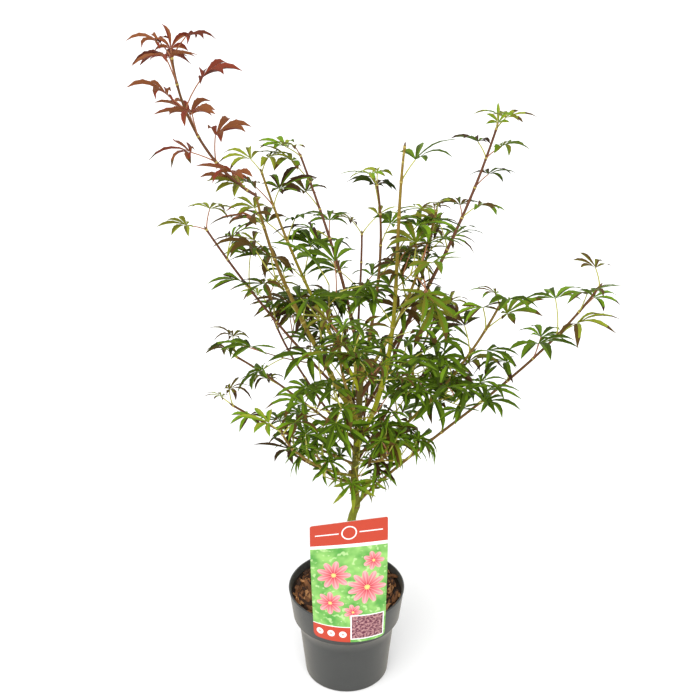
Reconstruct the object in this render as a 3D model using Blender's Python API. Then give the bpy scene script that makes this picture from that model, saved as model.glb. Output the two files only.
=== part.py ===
"""Potted japanese maple: a young plant of many slender shoots in a round nursery pot.

Metres, +Z up. The origin is the centre of the pot's flat underside. The plant label hangs on the
pot's front, at -Y. Every limb, mass of foliage and made piece is its own object.
"""

import math
import random
from collections import namedtuple

import bmesh
import bpy
from mathutils import Matrix, Quaternion, Vector
from mathutils.bvhtree import BVHTree

SEED = 11
GAP = 0.0003  # between neighbouring pieces
CLEAR = GAP + 0.0001  # the gap where slanted faces meet, with room for rounding

# Pot: a thin round container with a deep collar.
POT_HEIGHT = 0.165
RIM_RADIUS = 0.095
COLLAR_FOOT_RADIUS = 0.0884
COLLAR_FOOT_HEIGHT = 0.113
BODY_TOP_RADIUS = 0.0786
BODY_TOP_HEIGHT = 0.097
BASE_RADIUS = 0.0693
BASE_EDGE = 0.0025
WALL = 0.0016
ROUND_STEPS = 32
DRAIN_HOLES = 6
DRAIN_RADIUS = 0.005
DRAIN_CIRCLE = 0.056

# Potting mix: a plug that fills the pot to just under its rim, with bark chips on top.
SOIL_LEVEL = 0.152
CHIP_COUNT = 14
CHIP_SIZE = (0.024, 0.013, 0.009)
CHIP_NEAREST = 0.032
CHIP_FURTHEST = 0.072
CHIP_RISE = 0.0015  # a chip's middle above the soil
CHIP_TILT = 0.3

# Plant label: a card that stands against the collar, with a tongue hooked over the rim.
LABEL_WIDTH = 0.120
LABEL_FOOT = 0.126
LABEL_TOP = 0.351
LABEL_THICKNESS = 0.0009
LABEL_YAW = 13  # how far the free top of the card is turned, right side back
LABEL_YAW_FROM = 0.25  # the share of the card's height where it starts to turn
LABEL_CENTRE_X = 0.0045
LABEL_RADIUS = RIM_RADIUS + 0.0012
LABEL_UNBEND = 1.3  # how fast the bend goes out of the card towards its top
LABEL_COLUMNS = 6
LABEL_ROWS = 4
TONGUE_WIDTH = 0.026
TONGUE_FOOT = 0.1555
TONGUE_THICKNESS = 0.0011
TONGUE_INSET = 0.0052

# Trunk: from the flat cut at the soil to the fork.
FORK_HEIGHT = 0.548
TRUNK_LEAN = 0.058  # sideways travel for each metre of height
TRUNK_KINK_HEIGHT = 0.322
TRUNK_KINK = 0.006
TRUNK_KINK_SPAN = 0.020
TRUNK_FOOT_RADIUS = 0.0078
TRUNK_FORK_RADIUS = 0.0046
FLARE = 0.0055
FLARE_HEIGHT = 0.014
KNOBS = ((0.377, 222), (0.346, 60))  # height and turn of each pruned stub
KNOB_RADIUS = 0.0036
KNOB_LENGTH = 0.0115
KNOB_LEAN = 62
KNOB_TAPER = 0.85
TRUNK_SIDES = 10
TRUNK_SECTIONS = 11
SEAT_STEP = 0.0002
SEAT_LIMIT = 0.020

# Shoots. Leans are degrees from upright, turns are degrees about +Z from +X, and a tip is where
# the woody stem ends. The first share of a shoot is a bare bough, and the rest carries leaves.
Shoot = namedtuple("Shoot", "name height lean turn tip tip_lean tip_turn radius bare")
SHOOTS = (
    Shoot("right_long", 0.322, 46, 12, (0.352, -0.060, 0.712), 32, 3, 0.0040, 0.33),
    Shoot("front_left_low", 0.372, 60, -118, (-0.085, -0.180, 0.545), 38, -100, 0.0026, 0.22),
    Shoot("left_low", 0.392, 57, -163, (-0.166, -0.060, 0.527), 51, -163, 0.0026, 0.30),
    Shoot("back_right_low", 0.392, 62, 58, (0.150, 0.190, 0.575), 30, 50, 0.0026, 0.24),
    Shoot("front_right", 0.412, 57, -48, (0.207, -0.110, 0.703), 24, -41, 0.0030, 0.25),
    Shoot("back_left_low", 0.412, 62, 122, (-0.130, 0.190, 0.590), 30, 125, 0.0027, 0.24),
    Shoot("centre_tall", 0.428, 28, -8, (0.078, -0.050, 0.905), 7, -36, 0.0040, 0.24),
    Shoot("left_mid", 0.436, 66, 158, (-0.172, 0.070, 0.545), 62, 172, 0.0026, 0.26),
    Shoot("front_centre", 0.452, 52, -84, (-0.010, -0.175, 0.690), 14, -90, 0.0028, 0.22),
    Shoot("left_leader", 0.462, 24, -176, (-0.123, -0.020, 0.829), 9, -173, 0.0040, 0.26),
    Shoot("back_right", 0.472, 60, 52, (0.135, 0.135, 0.745), 10, 40, 0.0028, 0.24),
    Shoot("back_centre", 0.480, 50, 96, (0.025, 0.215, 0.700), 14, 90, 0.0028, 0.24),
    Shoot("left_slender", 0.488, 50, 160, (-0.206, 0.060, 0.756), 34, 165, 0.0026, 0.24),
    Shoot("right_tall", 0.512, 40, 26, (0.220, 0.110, 0.894), 19, 28, 0.0034, 0.24),
    Shoot("left_back_tall", 0.522, 34, 150, (-0.127, 0.125, 0.825), 24, 139, 0.0032, 0.24),
    Shoot("back_tall", 0.532, 26, 100, (-0.070, 0.165, 0.840), 34, 128, 0.0032, 0.24),
    Shoot("right_mid", 0.536, 34, -32, (0.128, 0.010, 0.800), 12, 20, 0.0028, 0.24),
    Shoot("centre_back", 0.544, 26, 60, (0.045, 0.075, 0.820), 10, 170, 0.0030, 0.22),
)
# Short shoots that sit on the trunk with no bough, leafy from their foot.
TUFTS = (
    Shoot("foot_tuft", 0.330, 50, -120, (0.004, -0.030, 0.385), 30, -100, 0.0018, 0.0),
    Shoot("right_foot_tuft", 0.345, 58, -25, (0.070, -0.035, 0.410), 50, -20, 0.0018, 0.0),
    Shoot("left_foot_tuft", 0.356, 62, -168, (-0.088, -0.030, 0.432), 55, -170, 0.0020, 0.0),
    Shoot("front_tuft", 0.402, 64, -72, (0.060, -0.120, 0.480), 40, -66, 0.0020, 0.0),
    Shoot("back_tuft", 0.366, 62, 85, (0.035, 0.125, 0.470), 35, 85, 0.0020, 0.0),
)
# The leader's young end grows on from its stem's tip, bent over to the left.
RED_TIP = Shoot("red_tip", 0.829, 62, 178, (-0.226, -0.020, 1.014), 3, 175, 0.0012, 0.0)

LIMB_SIDES = 6
STEM_SIDES = 4
TWIG_SIDES = 3
SECTION_LENGTH = 0.058
STEM_TIP_RADIUS = 0.0010
BOUGH_TAPER = 0.72  # a bough's radius at its tip, as a share of its foot's

# Leaves: opposite pairs, each blade a hand of five narrow lobes on a thin stalk.
NODE_STEP = 0.061
FIRST_NODE = 0.014
STALK_LENGTH = 0.040
STALK_RADIUS = 0.0010
BLADE_REACH = 0.067
BLADE_THICKNESS = 0.0018
LOBE_TURNS = (-82, -41, 0, 41, 82)
LOBE_LENGTHS = (0.70, 0.93, 1.0, 0.93, 0.70)
LOBE_HALF_WIDTH = 0.118
LOBE_WIDEST = 0.48
NOTCH_REACH = 0.17
SHOULDER_TURN = 140
SHOULDER_REACH = 0.055
BLADE_DROOP = 0.15
BLADE_ROLL = 0.35
STALK_BEND = 18  # degrees from the stalk's rise down to the blade's slope
LEAF_CLEARANCE = 0.0012
LEAF_TRIES = (0, 24, -24, 48, -48)
TWIG_LENGTH = 0.070
TWIG_RADIUS = 0.0012
TWIG_REGION = 0.7  # the share of a stem that can bear twigs
TWIG_CHANCE = 0.44
TWIG_LEAF_SCALE = 0.88
TIP_LEAF_SCALE = 0.62
RED_LEAF_SCALE = 0.78
RED_NODE_STEP = 0.044
UPRIGHT_TIPS = {"red_tip": 0.60, "right_tall": 0.50}  # scale of the young leaf on top of a shoot
UPRIGHT_LEAN = 20  # degrees from upright
UPRIGHT_TURN = 90
LEAF_FLOOR = 0.305  # no leaf hangs lower beside the trunk
CROWN_RISE = 0.95  # how steeply the crown's underside rises away from the trunk
CROWN_FOOT = 0.045  # the spread at which it starts to rise

COLOURS = {
    "pot": (0.098, 0.103, 0.098, 0.46, 0.0),
    "potting_mix": (0.120, 0.052, 0.028, 0.95, 0.0),
    "label": (0.800, 0.130, 0.095, 0.35, 0.0),
    "trunk": (0.170, 0.150, 0.075, 0.75, 0.0),
    "bough": (0.190, 0.150, 0.060, 0.70, 0.0),
    "leaves": (0.060, 0.130, 0.028, 0.55, 0.0),
    "red_leaves": (0.230, 0.050, 0.035, 0.55, 0.0),
}


def clear_scene():
    for obj in list(bpy.data.objects):
        bpy.data.objects.remove(obj, do_unlink=True)


def finish_piece(name, bm, colour):
    """Turns a bmesh into a named object with its own material."""
    bmesh.ops.recalc_face_normals(bm, faces=bm.faces)
    mesh = bpy.data.meshes.new(name)
    bm.to_mesh(mesh)
    bm.free()
    red, green, blue, roughness, metallic = COLOURS[colour]
    material = bpy.data.materials.new(name)
    material.use_nodes = True
    shader = material.node_tree.nodes["Principled BSDF"]
    shader.inputs["Base Color"].default_value = (red, green, blue, 1.0)
    shader.inputs["Roughness"].default_value = roughness
    shader.inputs["Metallic"].default_value = metallic
    mesh.materials.append(material)
    obj = bpy.data.objects.new(name, mesh)
    bpy.context.scene.collection.objects.link(obj)
    return obj


def direction(lean, turn):
    lean, turn = math.radians(lean), math.radians(turn)
    return Vector((math.sin(lean) * math.cos(turn), math.sin(lean) * math.sin(turn), math.cos(lean)))


def trunk_axis(height):
    """The middle of the trunk at this height: a slight lean with one kink in it."""
    kink = TRUNK_KINK * math.exp(-(((height - TRUNK_KINK_HEIGHT) / TRUNK_KINK_SPAN) ** 2))
    return Vector((TRUNK_LEAN * (height - SOIL_LEVEL) + kink, 0.0, height))


def trunk_radius(height):
    above = height - SOIL_LEVEL
    share = above / (FORK_HEIGHT - SOIL_LEVEL)
    taper = TRUNK_FOOT_RADIUS + (TRUNK_FORK_RADIUS - TRUNK_FOOT_RADIUS) * share
    return taper + FLARE * math.exp(-above / FLARE_HEIGHT)


def smooth_route(start, start_way, end, end_way):
    """Points on one smooth curve that leaves start and reaches end along the given directions."""
    span = (end - start).length
    steps = max(2, round(span / SECTION_LENGTH))
    route = []
    for i in range(steps + 1):
        t = i / steps
        near = (2 * t**3 - 3 * t**2 + 1) * start + (t**3 - 2 * t**2 + t) * span * start_way
        far = (3 * t**2 - 2 * t**3) * end + (t**3 - t**2) * span * end_way
        route.append(near + far)
    return route


def route_lengths(route):
    lengths = [0.0]
    for a, b in zip(route, route[1:]):
        lengths.append(lengths[-1] + (b - a).length)
    return lengths


def along(route, distance):
    """The point and the direction at a distance along a route."""
    lengths = route_lengths(route)
    for i in range(1, len(route)):
        if distance <= lengths[i] or i == len(route) - 1:
            way = (route[i] - route[i - 1]).normalized()
            return route[i - 1] + way * (distance - lengths[i - 1]), way


def cut_route(route, start, end):
    """The stretch of a route between two distances, with the points that lie inside it."""
    low, high = start + SECTION_LENGTH / 12, end - SECTION_LENGTH / 12
    inside = [p for p, d in zip(route, route_lengths(route)) if low < d < high]
    return [along(route, start)[0], *inside, along(route, end)[0]]


def draw_face(bm, face, keep=False):
    """Draws a face out and returns the new one. The old one stays only where it closes a foot."""
    drawn = bmesh.ops.extrude_face_region(bm, geom=[face])["geom"]
    if not keep:
        bmesh.ops.delete(bm, geom=[face], context="FACES_ONLY")
    return next(g for g in drawn if isinstance(g, bmesh.types.BMFace))


def tube(route, radii, sides, foot_plane=None):
    """A capped limb drawn out ring by ring from its foot. foot_plane is (point, normal) of a mitre."""
    bm = bmesh.new()
    bmesh.ops.create_circle(bm, cap_ends=True, segments=sides, radius=1.0)
    local = [v.co.copy() for v in bm.verts]
    face = bm.faces[:][0]
    ways = [(b - a).normalized() for a, b in zip(route, route[1:])]
    turn = Vector((0, 0, 1)).rotation_difference(ways[0])
    for i, (centre, radius) in enumerate(zip(route, radii)):
        before, after = ways[max(i - 1, 0)], ways[min(i, len(ways) - 1)]
        if i:
            turn = before.rotation_difference(after) @ turn
            face = draw_face(bm, face, keep=i == 1)
        for vert, corner in zip(face.verts, local):
            vert.co = centre + turn @ (corner * radius)
            if i == 0 and foot_plane:
                point, normal = foot_plane
                vert.co += after * ((point - vert.co).dot(normal) / after.dot(normal))
    bmesh.ops.recalc_face_normals(bm, faces=bm.faces)
    return bm


def blade_rim():
    """The leaf's outline as (turn, share of the reach): five lobes, and a shoulder each side."""
    spread = math.degrees(math.atan2(LOBE_HALF_WIDTH, LOBE_WIDEST))
    wide = math.hypot(LOBE_HALF_WIDTH, LOBE_WIDEST)
    rim = [(-SHOULDER_TURN, SHOULDER_REACH)]
    for i, (turn, length) in enumerate(zip(LOBE_TURNS, LOBE_LENGTHS)):
        if i:
            rim.append(((turn + LOBE_TURNS[i - 1]) / 2, NOTCH_REACH))
        if abs(turn) == max(LOBE_TURNS):
            rim.append((turn, length))
        else:
            rim += [(turn - spread, wide * length), (turn, length), (turn + spread, wide * length)]
    return rim + [(SHOULDER_TURN, SHOULDER_REACH)]


def blade(hub, forward, normal, reach):
    """A hand of five lobes: a flat double pyramid whose rim is the leaf's outline."""
    bm = bmesh.new()
    rim = blade_rim()
    bmesh.ops.create_uvsphere(bm, u_segments=len(rim), v_segments=2, radius=1.0)
    side = normal.cross(forward).normalized()
    poles = [v for v in bm.verts if abs(v.co.z) > 0.5]
    equator = [v for v in bm.verts if abs(v.co.z) <= 0.5]
    equator.sort(key=lambda v: math.atan2(v.co.y, v.co.x))
    for vert, (turn, share) in zip(equator, rim):
        angle = math.radians(turn)
        flat = forward * math.cos(angle) + side * math.sin(angle)
        vert.co = hub + reach * share * (flat - normal * BLADE_DROOP)
    for vert in poles:
        vert.co = hub + normal * math.copysign(BLADE_THICKNESS / 2, vert.co.z)
    bmesh.ops.recalc_face_normals(bm, faces=bm.faces)
    return bm


def draw_stalk(bm, hub, forward, root, root_radius):
    """Draws the small face behind the blade's lower pole out into a stalk that ends at root."""
    behind = [f for f in bm.faces if f.normal.z < 0]
    under = min(behind, key=lambda f: (f.calc_center_median() - hub).normalized().dot(forward))
    end = draw_face(bm, under)
    centre = end.calc_center_median()
    way = (root - hub).normalized()
    for vert in end.verts:
        offset = vert.co - centre
        offset -= way * offset.dot(way)
        vert.co = root + offset.normalized() * root_radius
    bmesh.ops.recalc_face_normals(bm, faces=bm.faces)


class Crown:
    """Everything that has been placed, so that what grows next stays clear of it."""

    def __init__(self):
        self.placed = []

    def add(self, bm, owner):
        points = [v.co.copy() for v in bm.verts]
        centre = sum(points, Vector()) / len(points)
        size = max((p - centre).length for p in points)
        self.placed.append((centre, size, BVHTree.FromBMesh(bm), owner))

    def is_free(self, bm, skip=()):
        """True if this solid, swollen by the clearance, meets nothing but the owners to skip."""
        swollen = bm.copy()
        for vert in swollen.verts:
            vert.co += vert.normal * LEAF_CLEARANCE
        points = [v.co for v in swollen.verts]
        centre = sum(points, Vector()) / len(points)
        size = max((p - centre).length for p in points)
        tree = BVHTree.FromBMesh(swollen)
        swollen.free()
        for other_centre, other_size, other, owner in self.placed:
            near = (other_centre - centre).length < size + other_size
            if near and owner not in skip and tree.overlap(other):
                return False
        return True


def leaf_pose(point, way, turn, scale, rng):
    """Where a leaf's hub stands off its stem, and the directions its blade faces."""
    around = Vector((0, 0, 1)).rotation_difference(way)
    outward = around @ direction(90, turn)
    rise = (outward + way * rng.uniform(0.3, 0.75)).normalized()
    rise.z = max(rise.z, -0.2)
    rise.normalize()
    level = Vector((rise.x, rise.y, 0.0))
    if level.length < 0.2:
        level = Vector((outward.x, outward.y, 0.0))
    slope = min(rng.uniform(-22, 10), math.degrees(math.asin(rise.z)) - STALK_BEND)
    slope = math.radians(slope)
    forward = level.normalized() * math.cos(slope) + Vector((0, 0, math.sin(slope)))
    side = Vector((0, 0, 1)).cross(forward).normalized()
    normal = Quaternion(forward, rng.uniform(-BLADE_ROLL, BLADE_ROLL)) @ forward.cross(side)
    return point + rise * STALK_LENGTH * scale, forward, normal


def crown_floor(point):
    """The lowest that a leaf may hang at this distance from the trunk's foot."""
    spread = math.hypot(point.x, point.y)
    return LEAF_FLOOR + CROWN_RISE * max(0.0, spread - CROWN_FOOT)


def grow_leaf(mass, node, stem, point, way, turn, scale):
    """Adds a leaf at the first turn where it is clear of the rest, or none."""
    for shift in LEAF_TRIES:
        hub, forward, normal = leaf_pose(point, way, turn + shift, scale, mass.rng)
        solid = blade(hub, forward, normal, BLADE_REACH * scale)
        is_high = all(v.co.z > crown_floor(v.co) for v in solid.verts)
        if is_high and mass.crown.is_free(solid):
            draw_stalk(solid, hub, forward, point, STALK_RADIUS)
            if mass.crown.is_free(solid, skip=(stem, node)):
                mass.crown.add(solid, node)
                mass.pieces.append(solid)
                return
        solid.free()


def grow_upright_leaf(mass, node, point, way, scale):
    """The young leaf that still stands in line with its shoot."""
    forward = direction(UPRIGHT_LEAN, UPRIGHT_TURN)
    normal = forward.cross(Vector((0, 0, 1)).cross(forward).normalized())
    hub = point + way * STALK_LENGTH * scale / 2
    solid = blade(hub, forward, normal, BLADE_REACH * scale)
    draw_stalk(solid, hub, forward, point, STALK_RADIUS)
    if mass.crown.is_free(solid, skip=(mass.stem, node)):
        mass.crown.add(solid, node)
        mass.pieces.append(solid)
    else:
        solid.free()


def grow_twig(mass, node, stem, point, way, turn, share):
    """A side twig that ends in a pair of leaves. It is left out where it would touch a neighbour."""
    around = Vector((0, 0, 1)).rotation_difference(way)
    out = around @ direction(mass.rng.uniform(42, 60), turn)
    out = (out + Vector((0, 0, 0.25))).normalized()
    length = TWIG_LENGTH * share * mass.rng.uniform(0.75, 1.2)
    end = point + out * length + Vector((0, 0, 0.12 * length))
    twig = tube([point, end], [TWIG_RADIUS, TWIG_RADIUS * 0.75], TWIG_SIDES)
    if not mass.crown.is_free(twig, skip=(stem, node)):
        twig.free()
        return False
    name = f"{node}_twig_{turn:.0f}"
    mass.crown.add(twig, name)
    mass.pieces.append(twig)
    tip, tip_way = along([point, end], length * 0.98)
    for side in (90, 270):
        grow_leaf(mass, f"{name}_tip", name, tip, tip_way, turn + side, TWIG_LEAF_SCALE)
    return True


def grow_mass(mass, route):
    """Opposite pairs up a stem, each turned across the last: leaves, or twigs low on the stem."""
    rng = mass.rng
    is_red = mass.name == RED_TIP.name
    length = route_lengths(route)[-1]
    count = max(1, round((length - FIRST_NODE) / (RED_NODE_STEP if is_red else NODE_STEP)))
    step = (length - FIRST_NODE - 0.002) / count
    turn = rng.uniform(0, 360)
    for i in range(count + 1):
        point, way = along(route, FIRST_NODE + i * step)
        share = i / count
        node = f"{mass.name}_node_{i}"
        for side in (0, 180):
            facing = turn + side + rng.uniform(-18, 18)
            wants_twig = not is_red and share < TWIG_REGION and rng.random() < TWIG_CHANCE
            if wants_twig and grow_twig(mass, node, mass.stem, point, way, facing, 1 - 0.4 * share):
                continue
            scale = TIP_LEAF_SCALE if i == count else 1.0 - 0.15 * share
            scale = rng.uniform(0.9, 1.08) * (RED_LEAF_SCALE if is_red else scale)
            grow_leaf(mass, node, mass.stem, point, way, facing, scale)
        turn += 90
    if mass.name in UPRIGHT_TIPS:
        grow_upright_leaf(mass, node, point, way, UPRIGHT_TIPS[mass.name])


class Mass:
    """One mass of leaves as it grows: its pieces, and the crown that it has to stay clear of."""

    def __init__(self, name, stem_solid, crown, rng):
        self.name = name
        self.stem = f"{name}_stem"
        self.pieces = [stem_solid]
        self.crown = crown
        self.rng = rng


def fuse(name, bodies, colour):
    """One Boolean union of a collection of solids on the first, applied, as one object."""
    first, *rest = [finish_piece(f"{name}_{i}", bm, colour) for i, bm in enumerate(bodies)]
    group = bpy.data.collections.new(name)
    for obj in rest:
        group.objects.link(obj)
    union = first.modifiers.new("union", "BOOLEAN")
    union.operation = "UNION"
    union.operand_type = "COLLECTION"
    union.collection = group
    union.solver = "MANIFOLD"
    graph = bpy.context.evaluated_depsgraph_get()
    mesh = bpy.data.meshes.new_from_object(first.evaluated_get(graph))
    for obj in rest + [first]:
        bpy.data.objects.remove(obj, do_unlink=True)
    bpy.data.collections.remove(group)
    bm = bmesh.new()
    bm.from_mesh(mesh)
    bpy.data.meshes.remove(mesh)
    keep_largest_body(bm)
    return finish_piece(name, bm, colour)


def keep_largest_body(bm):
    bmesh.ops.triangulate(bm, faces=bm.faces)
    bmesh.ops.remove_doubles(bm, verts=bm.verts, dist=1e-6)
    bmesh.ops.dissolve_degenerate(bm, edges=bm.edges, dist=2e-6)
    bmesh.ops.triangulate(bm, faces=bm.faces)
    unseen = set(bm.verts)
    bodies = []
    while unseen:
        stack = [unseen.pop()]
        body = set(stack)
        while stack:
            for edge in stack.pop().link_edges:
                for vert in edge.verts:
                    if vert in unseen:
                        unseen.discard(vert)
                        body.add(vert)
                        stack.append(vert)
        bodies.append(body)
    bodies.sort(key=len)
    scrap = [v for body in bodies[:-1] for v in body]
    bmesh.ops.delete(bm, geom=scrap, context="VERTS")


def turned(profile):
    """A solid turned about Z from a closed profile of (radius, height), both ends on the axis."""
    bm = bmesh.new()
    verts = [bm.verts.new((radius, 0.0, height)) for radius, height in profile]
    edges = [bm.edges.new(pair) for pair in zip(verts, verts[1:])]
    bmesh.ops.spin(
        bm, geom=verts + edges, cent=(0, 0, 0), axis=(0, 0, 1), angle=math.tau,
        steps=ROUND_STEPS, use_merge=True,
    )
    bmesh.ops.remove_doubles(bm, verts=bm.verts, dist=1e-5)
    bmesh.ops.recalc_face_normals(bm, faces=bm.faces)
    return bm


def make_pot():
    """Thin walls with a deep collar, a flat underside and drain holes near its edge."""
    outer = [
        (0.0, 0.0),
        (BASE_RADIUS - BASE_EDGE, 0.0),
        (BASE_RADIUS, BASE_EDGE),
        (BODY_TOP_RADIUS, BODY_TOP_HEIGHT),
        (COLLAR_FOOT_RADIUS, COLLAR_FOOT_HEIGHT),
        (RIM_RADIUS - 0.0012, POT_HEIGHT - 0.004),
        (RIM_RADIUS, POT_HEIGHT - 0.0025),
        (RIM_RADIUS, POT_HEIGHT),
    ]
    inner = [(RIM_RADIUS - WALL - 0.0012, POT_HEIGHT)] + inner_wall()
    pot = finish_piece("pot", turned(outer + inner + [(0.0, WALL)]), "pot")
    for i in range(DRAIN_HOLES):
        drill = bmesh.new()
        around = Matrix.Rotation(math.tau * i / DRAIN_HOLES, 4, "Z")
        place = around @ Matrix.Translation((DRAIN_CIRCLE, 0.0, 0.0))
        bmesh.ops.create_cone(
            drill, cap_ends=True, segments=8, radius1=DRAIN_RADIUS, radius2=DRAIN_RADIUS,
            depth=4 * WALL, matrix=place,
        )
        cutter = finish_piece(f"drain_drill_{i}", drill, "pot")
        cutter.hide_render = True
        cutter.display_type = "WIRE"
        cut = pot.modifiers.new(f"drain_{i}", "BOOLEAN")
        cut.operation = "DIFFERENCE"
        cut.object = cutter
    return pot


def inner_wall():
    """The inside of the pot's wall, from just under the rim down to the floor."""
    return [
        (RIM_RADIUS - WALL - 0.0014, POT_HEIGHT - 0.004),
        (COLLAR_FOOT_RADIUS - WALL, COLLAR_FOOT_HEIGHT + 0.0006),
        (BODY_TOP_RADIUS - WALL, BODY_TOP_HEIGHT + 0.0006),
        (BASE_RADIUS - WALL - 0.0006, WALL),
    ]


def make_potting_mix(rng):
    """A plug inside the pot, with loose bark chips half sunk in its top."""
    top, collar, body, foot = inner_wall()
    share = (SOIL_LEVEL - collar[1]) / (top[1] - collar[1])
    surface_radius = collar[0] + (top[0] - collar[0]) * share
    plug = turned([
        (0.0, WALL + GAP),
        (foot[0] - CLEAR, WALL + GAP),
        (body[0] - CLEAR, body[1]),
        (collar[0] - CLEAR, collar[1]),
        (surface_radius - CLEAR, SOIL_LEVEL),
        (0.0, SOIL_LEVEL),
    ])
    bodies = [plug]
    for i in range(CHIP_COUNT):
        chip = bmesh.new()
        bmesh.ops.create_cube(chip, size=rng.uniform(0.8, 1.2))
        for vert in chip.verts:
            vert.co = Vector(c * size * rng.uniform(0.8, 1.1) for c, size in zip(vert.co, CHIP_SIZE))
        ring = CHIP_NEAREST if i % 2 else CHIP_FURTHEST
        around = Matrix.Rotation(math.tau * (i + rng.uniform(-0.2, 0.2)) / CHIP_COUNT, 4, "Z")
        place = Matrix.Translation((ring, 0.0, SOIL_LEVEL + CHIP_RISE))
        spin = Matrix.Rotation(rng.uniform(0, math.tau), 4, "Z")
        tilt = Matrix.Rotation(rng.uniform(-CHIP_TILT, CHIP_TILT), 4, "X")
        chip.transform(around @ place @ spin @ tilt)
        bodies.append(chip)
    return fuse("potting_mix", bodies, "potting_mix")


def label_point(across, up):
    """A point on the card's back: bent round the collar at its foot, and turned flat at its top."""
    x = across * LABEL_WIDTH / 2
    angle = x / LABEL_RADIUS
    yaw = math.radians(LABEL_YAW) * max(0.0, (up - LABEL_YAW_FROM) / (1 - LABEL_YAW_FROM))
    flat = Vector((x * math.cos(yaw), x * math.sin(yaw) - LABEL_RADIUS, 0.0))
    bent = Vector((math.sin(angle), -math.cos(angle), 0.0)) * LABEL_RADIUS
    point = flat.lerp(bent, (1 - up) ** LABEL_UNBEND)
    height = LABEL_FOOT + (LABEL_TOP - LABEL_FOOT) * up
    return Vector((point.x + LABEL_CENTRE_X, point.y, height))


def make_label():
    """The card, and the tongue behind it that hooks over the rim."""
    card = bmesh.new()
    bmesh.ops.create_grid(card, x_segments=LABEL_COLUMNS, y_segments=LABEL_ROWS, size=1.0)
    for vert in card.verts:
        vert.co = label_point(vert.co.x, (vert.co.y + 1) / 2)
    drawn = bmesh.ops.extrude_face_region(card, geom=card.faces[:])["geom"]
    for vert in (g for g in drawn if isinstance(g, bmesh.types.BMVert)):
        vert.co.y -= LABEL_THICKNESS
    bodies = [card]
    over_rim = POT_HEIGHT + CLEAR
    top = over_rim + TONGUE_THICKNESS
    card_y = -(LABEL_RADIUS + LABEL_THICKNESS / 3)
    hook_y = -(RIM_RADIUS - WALL - TONGUE_INSET)
    spans = (
        (card_y, hook_y + TONGUE_THICKNESS, over_rim, top),
        (hook_y, hook_y + TONGUE_THICKNESS, TONGUE_FOOT, top),
    )
    for near_y, far_y, low, high in spans:
        strip = bmesh.new()
        bmesh.ops.create_cube(strip, size=1.0)
        for vert in strip.verts:
            vert.co.x = vert.co.x * TONGUE_WIDTH + LABEL_CENTRE_X
            vert.co.y = far_y if vert.co.y > 0 else near_y
            vert.co.z = high if vert.co.z > 0 else low
        bodies.append(strip)
    return fuse("plant_label", bodies, "label")


def make_trunk():
    """The trunk with its flared foot, its kink and the stubs of two pruned limbs."""
    foot = SOIL_LEVEL + GAP
    heights = [foot + FLARE_HEIGHT * i / 2 for i in range(4)]
    rest = FORK_HEIGHT - heights[-1]
    heights += [heights[-1] + rest * (i + 1) / TRUNK_SECTIONS for i in range(TRUNK_SECTIONS)]
    route = [trunk_axis(height) for height in heights]
    radii = [trunk_radius(height) for height in heights]
    level_cut = (Vector((0.0, 0.0, foot)), Vector((0.0, 0.0, 1.0)))
    bodies = [tube(route, radii, TRUNK_SIDES, foot_plane=level_cut)]
    for height, turn in KNOBS:
        start = trunk_axis(height)
        end = start + direction(KNOB_LEAN, turn) * KNOB_LENGTH
        bodies.append(tube([start, end], [KNOB_RADIUS, KNOB_RADIUS * KNOB_TAPER], LIMB_SIDES))
    return fuse("trunk", bodies, "trunk")


def seat_on_trunk(route, radii, sides, outward, trunk_tree):
    """A limb whose foot is mitred to stand just clear of the bark, as near as the gap allows."""
    away = TRUNK_FORK_RADIUS / 2
    while away < SEAT_LIMIT:
        away += SEAT_STEP
        seat = route[0] + outward * away
        limb = tube([seat, *route[1:]], radii, sides, foot_plane=(seat, outward))
        foot = sorted((v.co for v in limb.verts), key=lambda p: (p - seat).dot(outward))[:sides]
        samples = [a.lerp(b, share) for a in foot for b in foot for share in (0.0, 0.5)]
        nearest = min(trunk_tree.find_nearest(p)[3] for p in samples)
        if nearest >= GAP and not BVHTree.FromBMesh(limb).overlap(trunk_tree):
            return limb
        limb.free()
    raise RuntimeError("a limb found no seat on the trunk")


def make_shoot(shoot, crown, trunk_tree):
    """A bare bough and, from just past its tip, the stem of its mass of leaves."""
    way = direction(shoot.lean, shoot.turn)
    outward = Vector((way.x, way.y, 0.0)).normalized()
    start = trunk_axis(shoot.height)
    route = smooth_route(start, way, Vector(shoot.tip), direction(shoot.tip_lean, shoot.tip_turn))
    length = route_lengths(route)[-1]
    if not shoot.bare:
        radii = taper(route, shoot.radius, STEM_TIP_RADIUS)
        stem = seat_on_trunk(route, radii, STEM_SIDES, outward, trunk_tree)
        crown.add(stem, f"{shoot.name}_stem")
        return stem, route
    bough_route = cut_route(route, 0.0, shoot.bare * length)
    radii = taper(bough_route, shoot.radius, shoot.radius * BOUGH_TAPER)
    bough = seat_on_trunk(bough_route, radii, LIMB_SIDES, outward, trunk_tree)
    crown.add(bough, f"{shoot.name}_bough")
    finish_piece(f"bough_{shoot.name}", bough, "bough")
    stem_route = cut_route(route, shoot.bare * length + CLEAR, length)
    cap_way = (bough_route[-1] - bough_route[-2]).normalized()
    radii = taper(stem_route, shoot.radius * BOUGH_TAPER, STEM_TIP_RADIUS)
    stem = tube(stem_route, radii, STEM_SIDES, foot_plane=(stem_route[0], cap_way))
    crown.add(stem, f"{shoot.name}_stem")
    return stem, stem_route


def taper(route, first, last):
    lengths = route_lengths(route)
    return [first + (last - first) * d / lengths[-1] for d in lengths]


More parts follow.
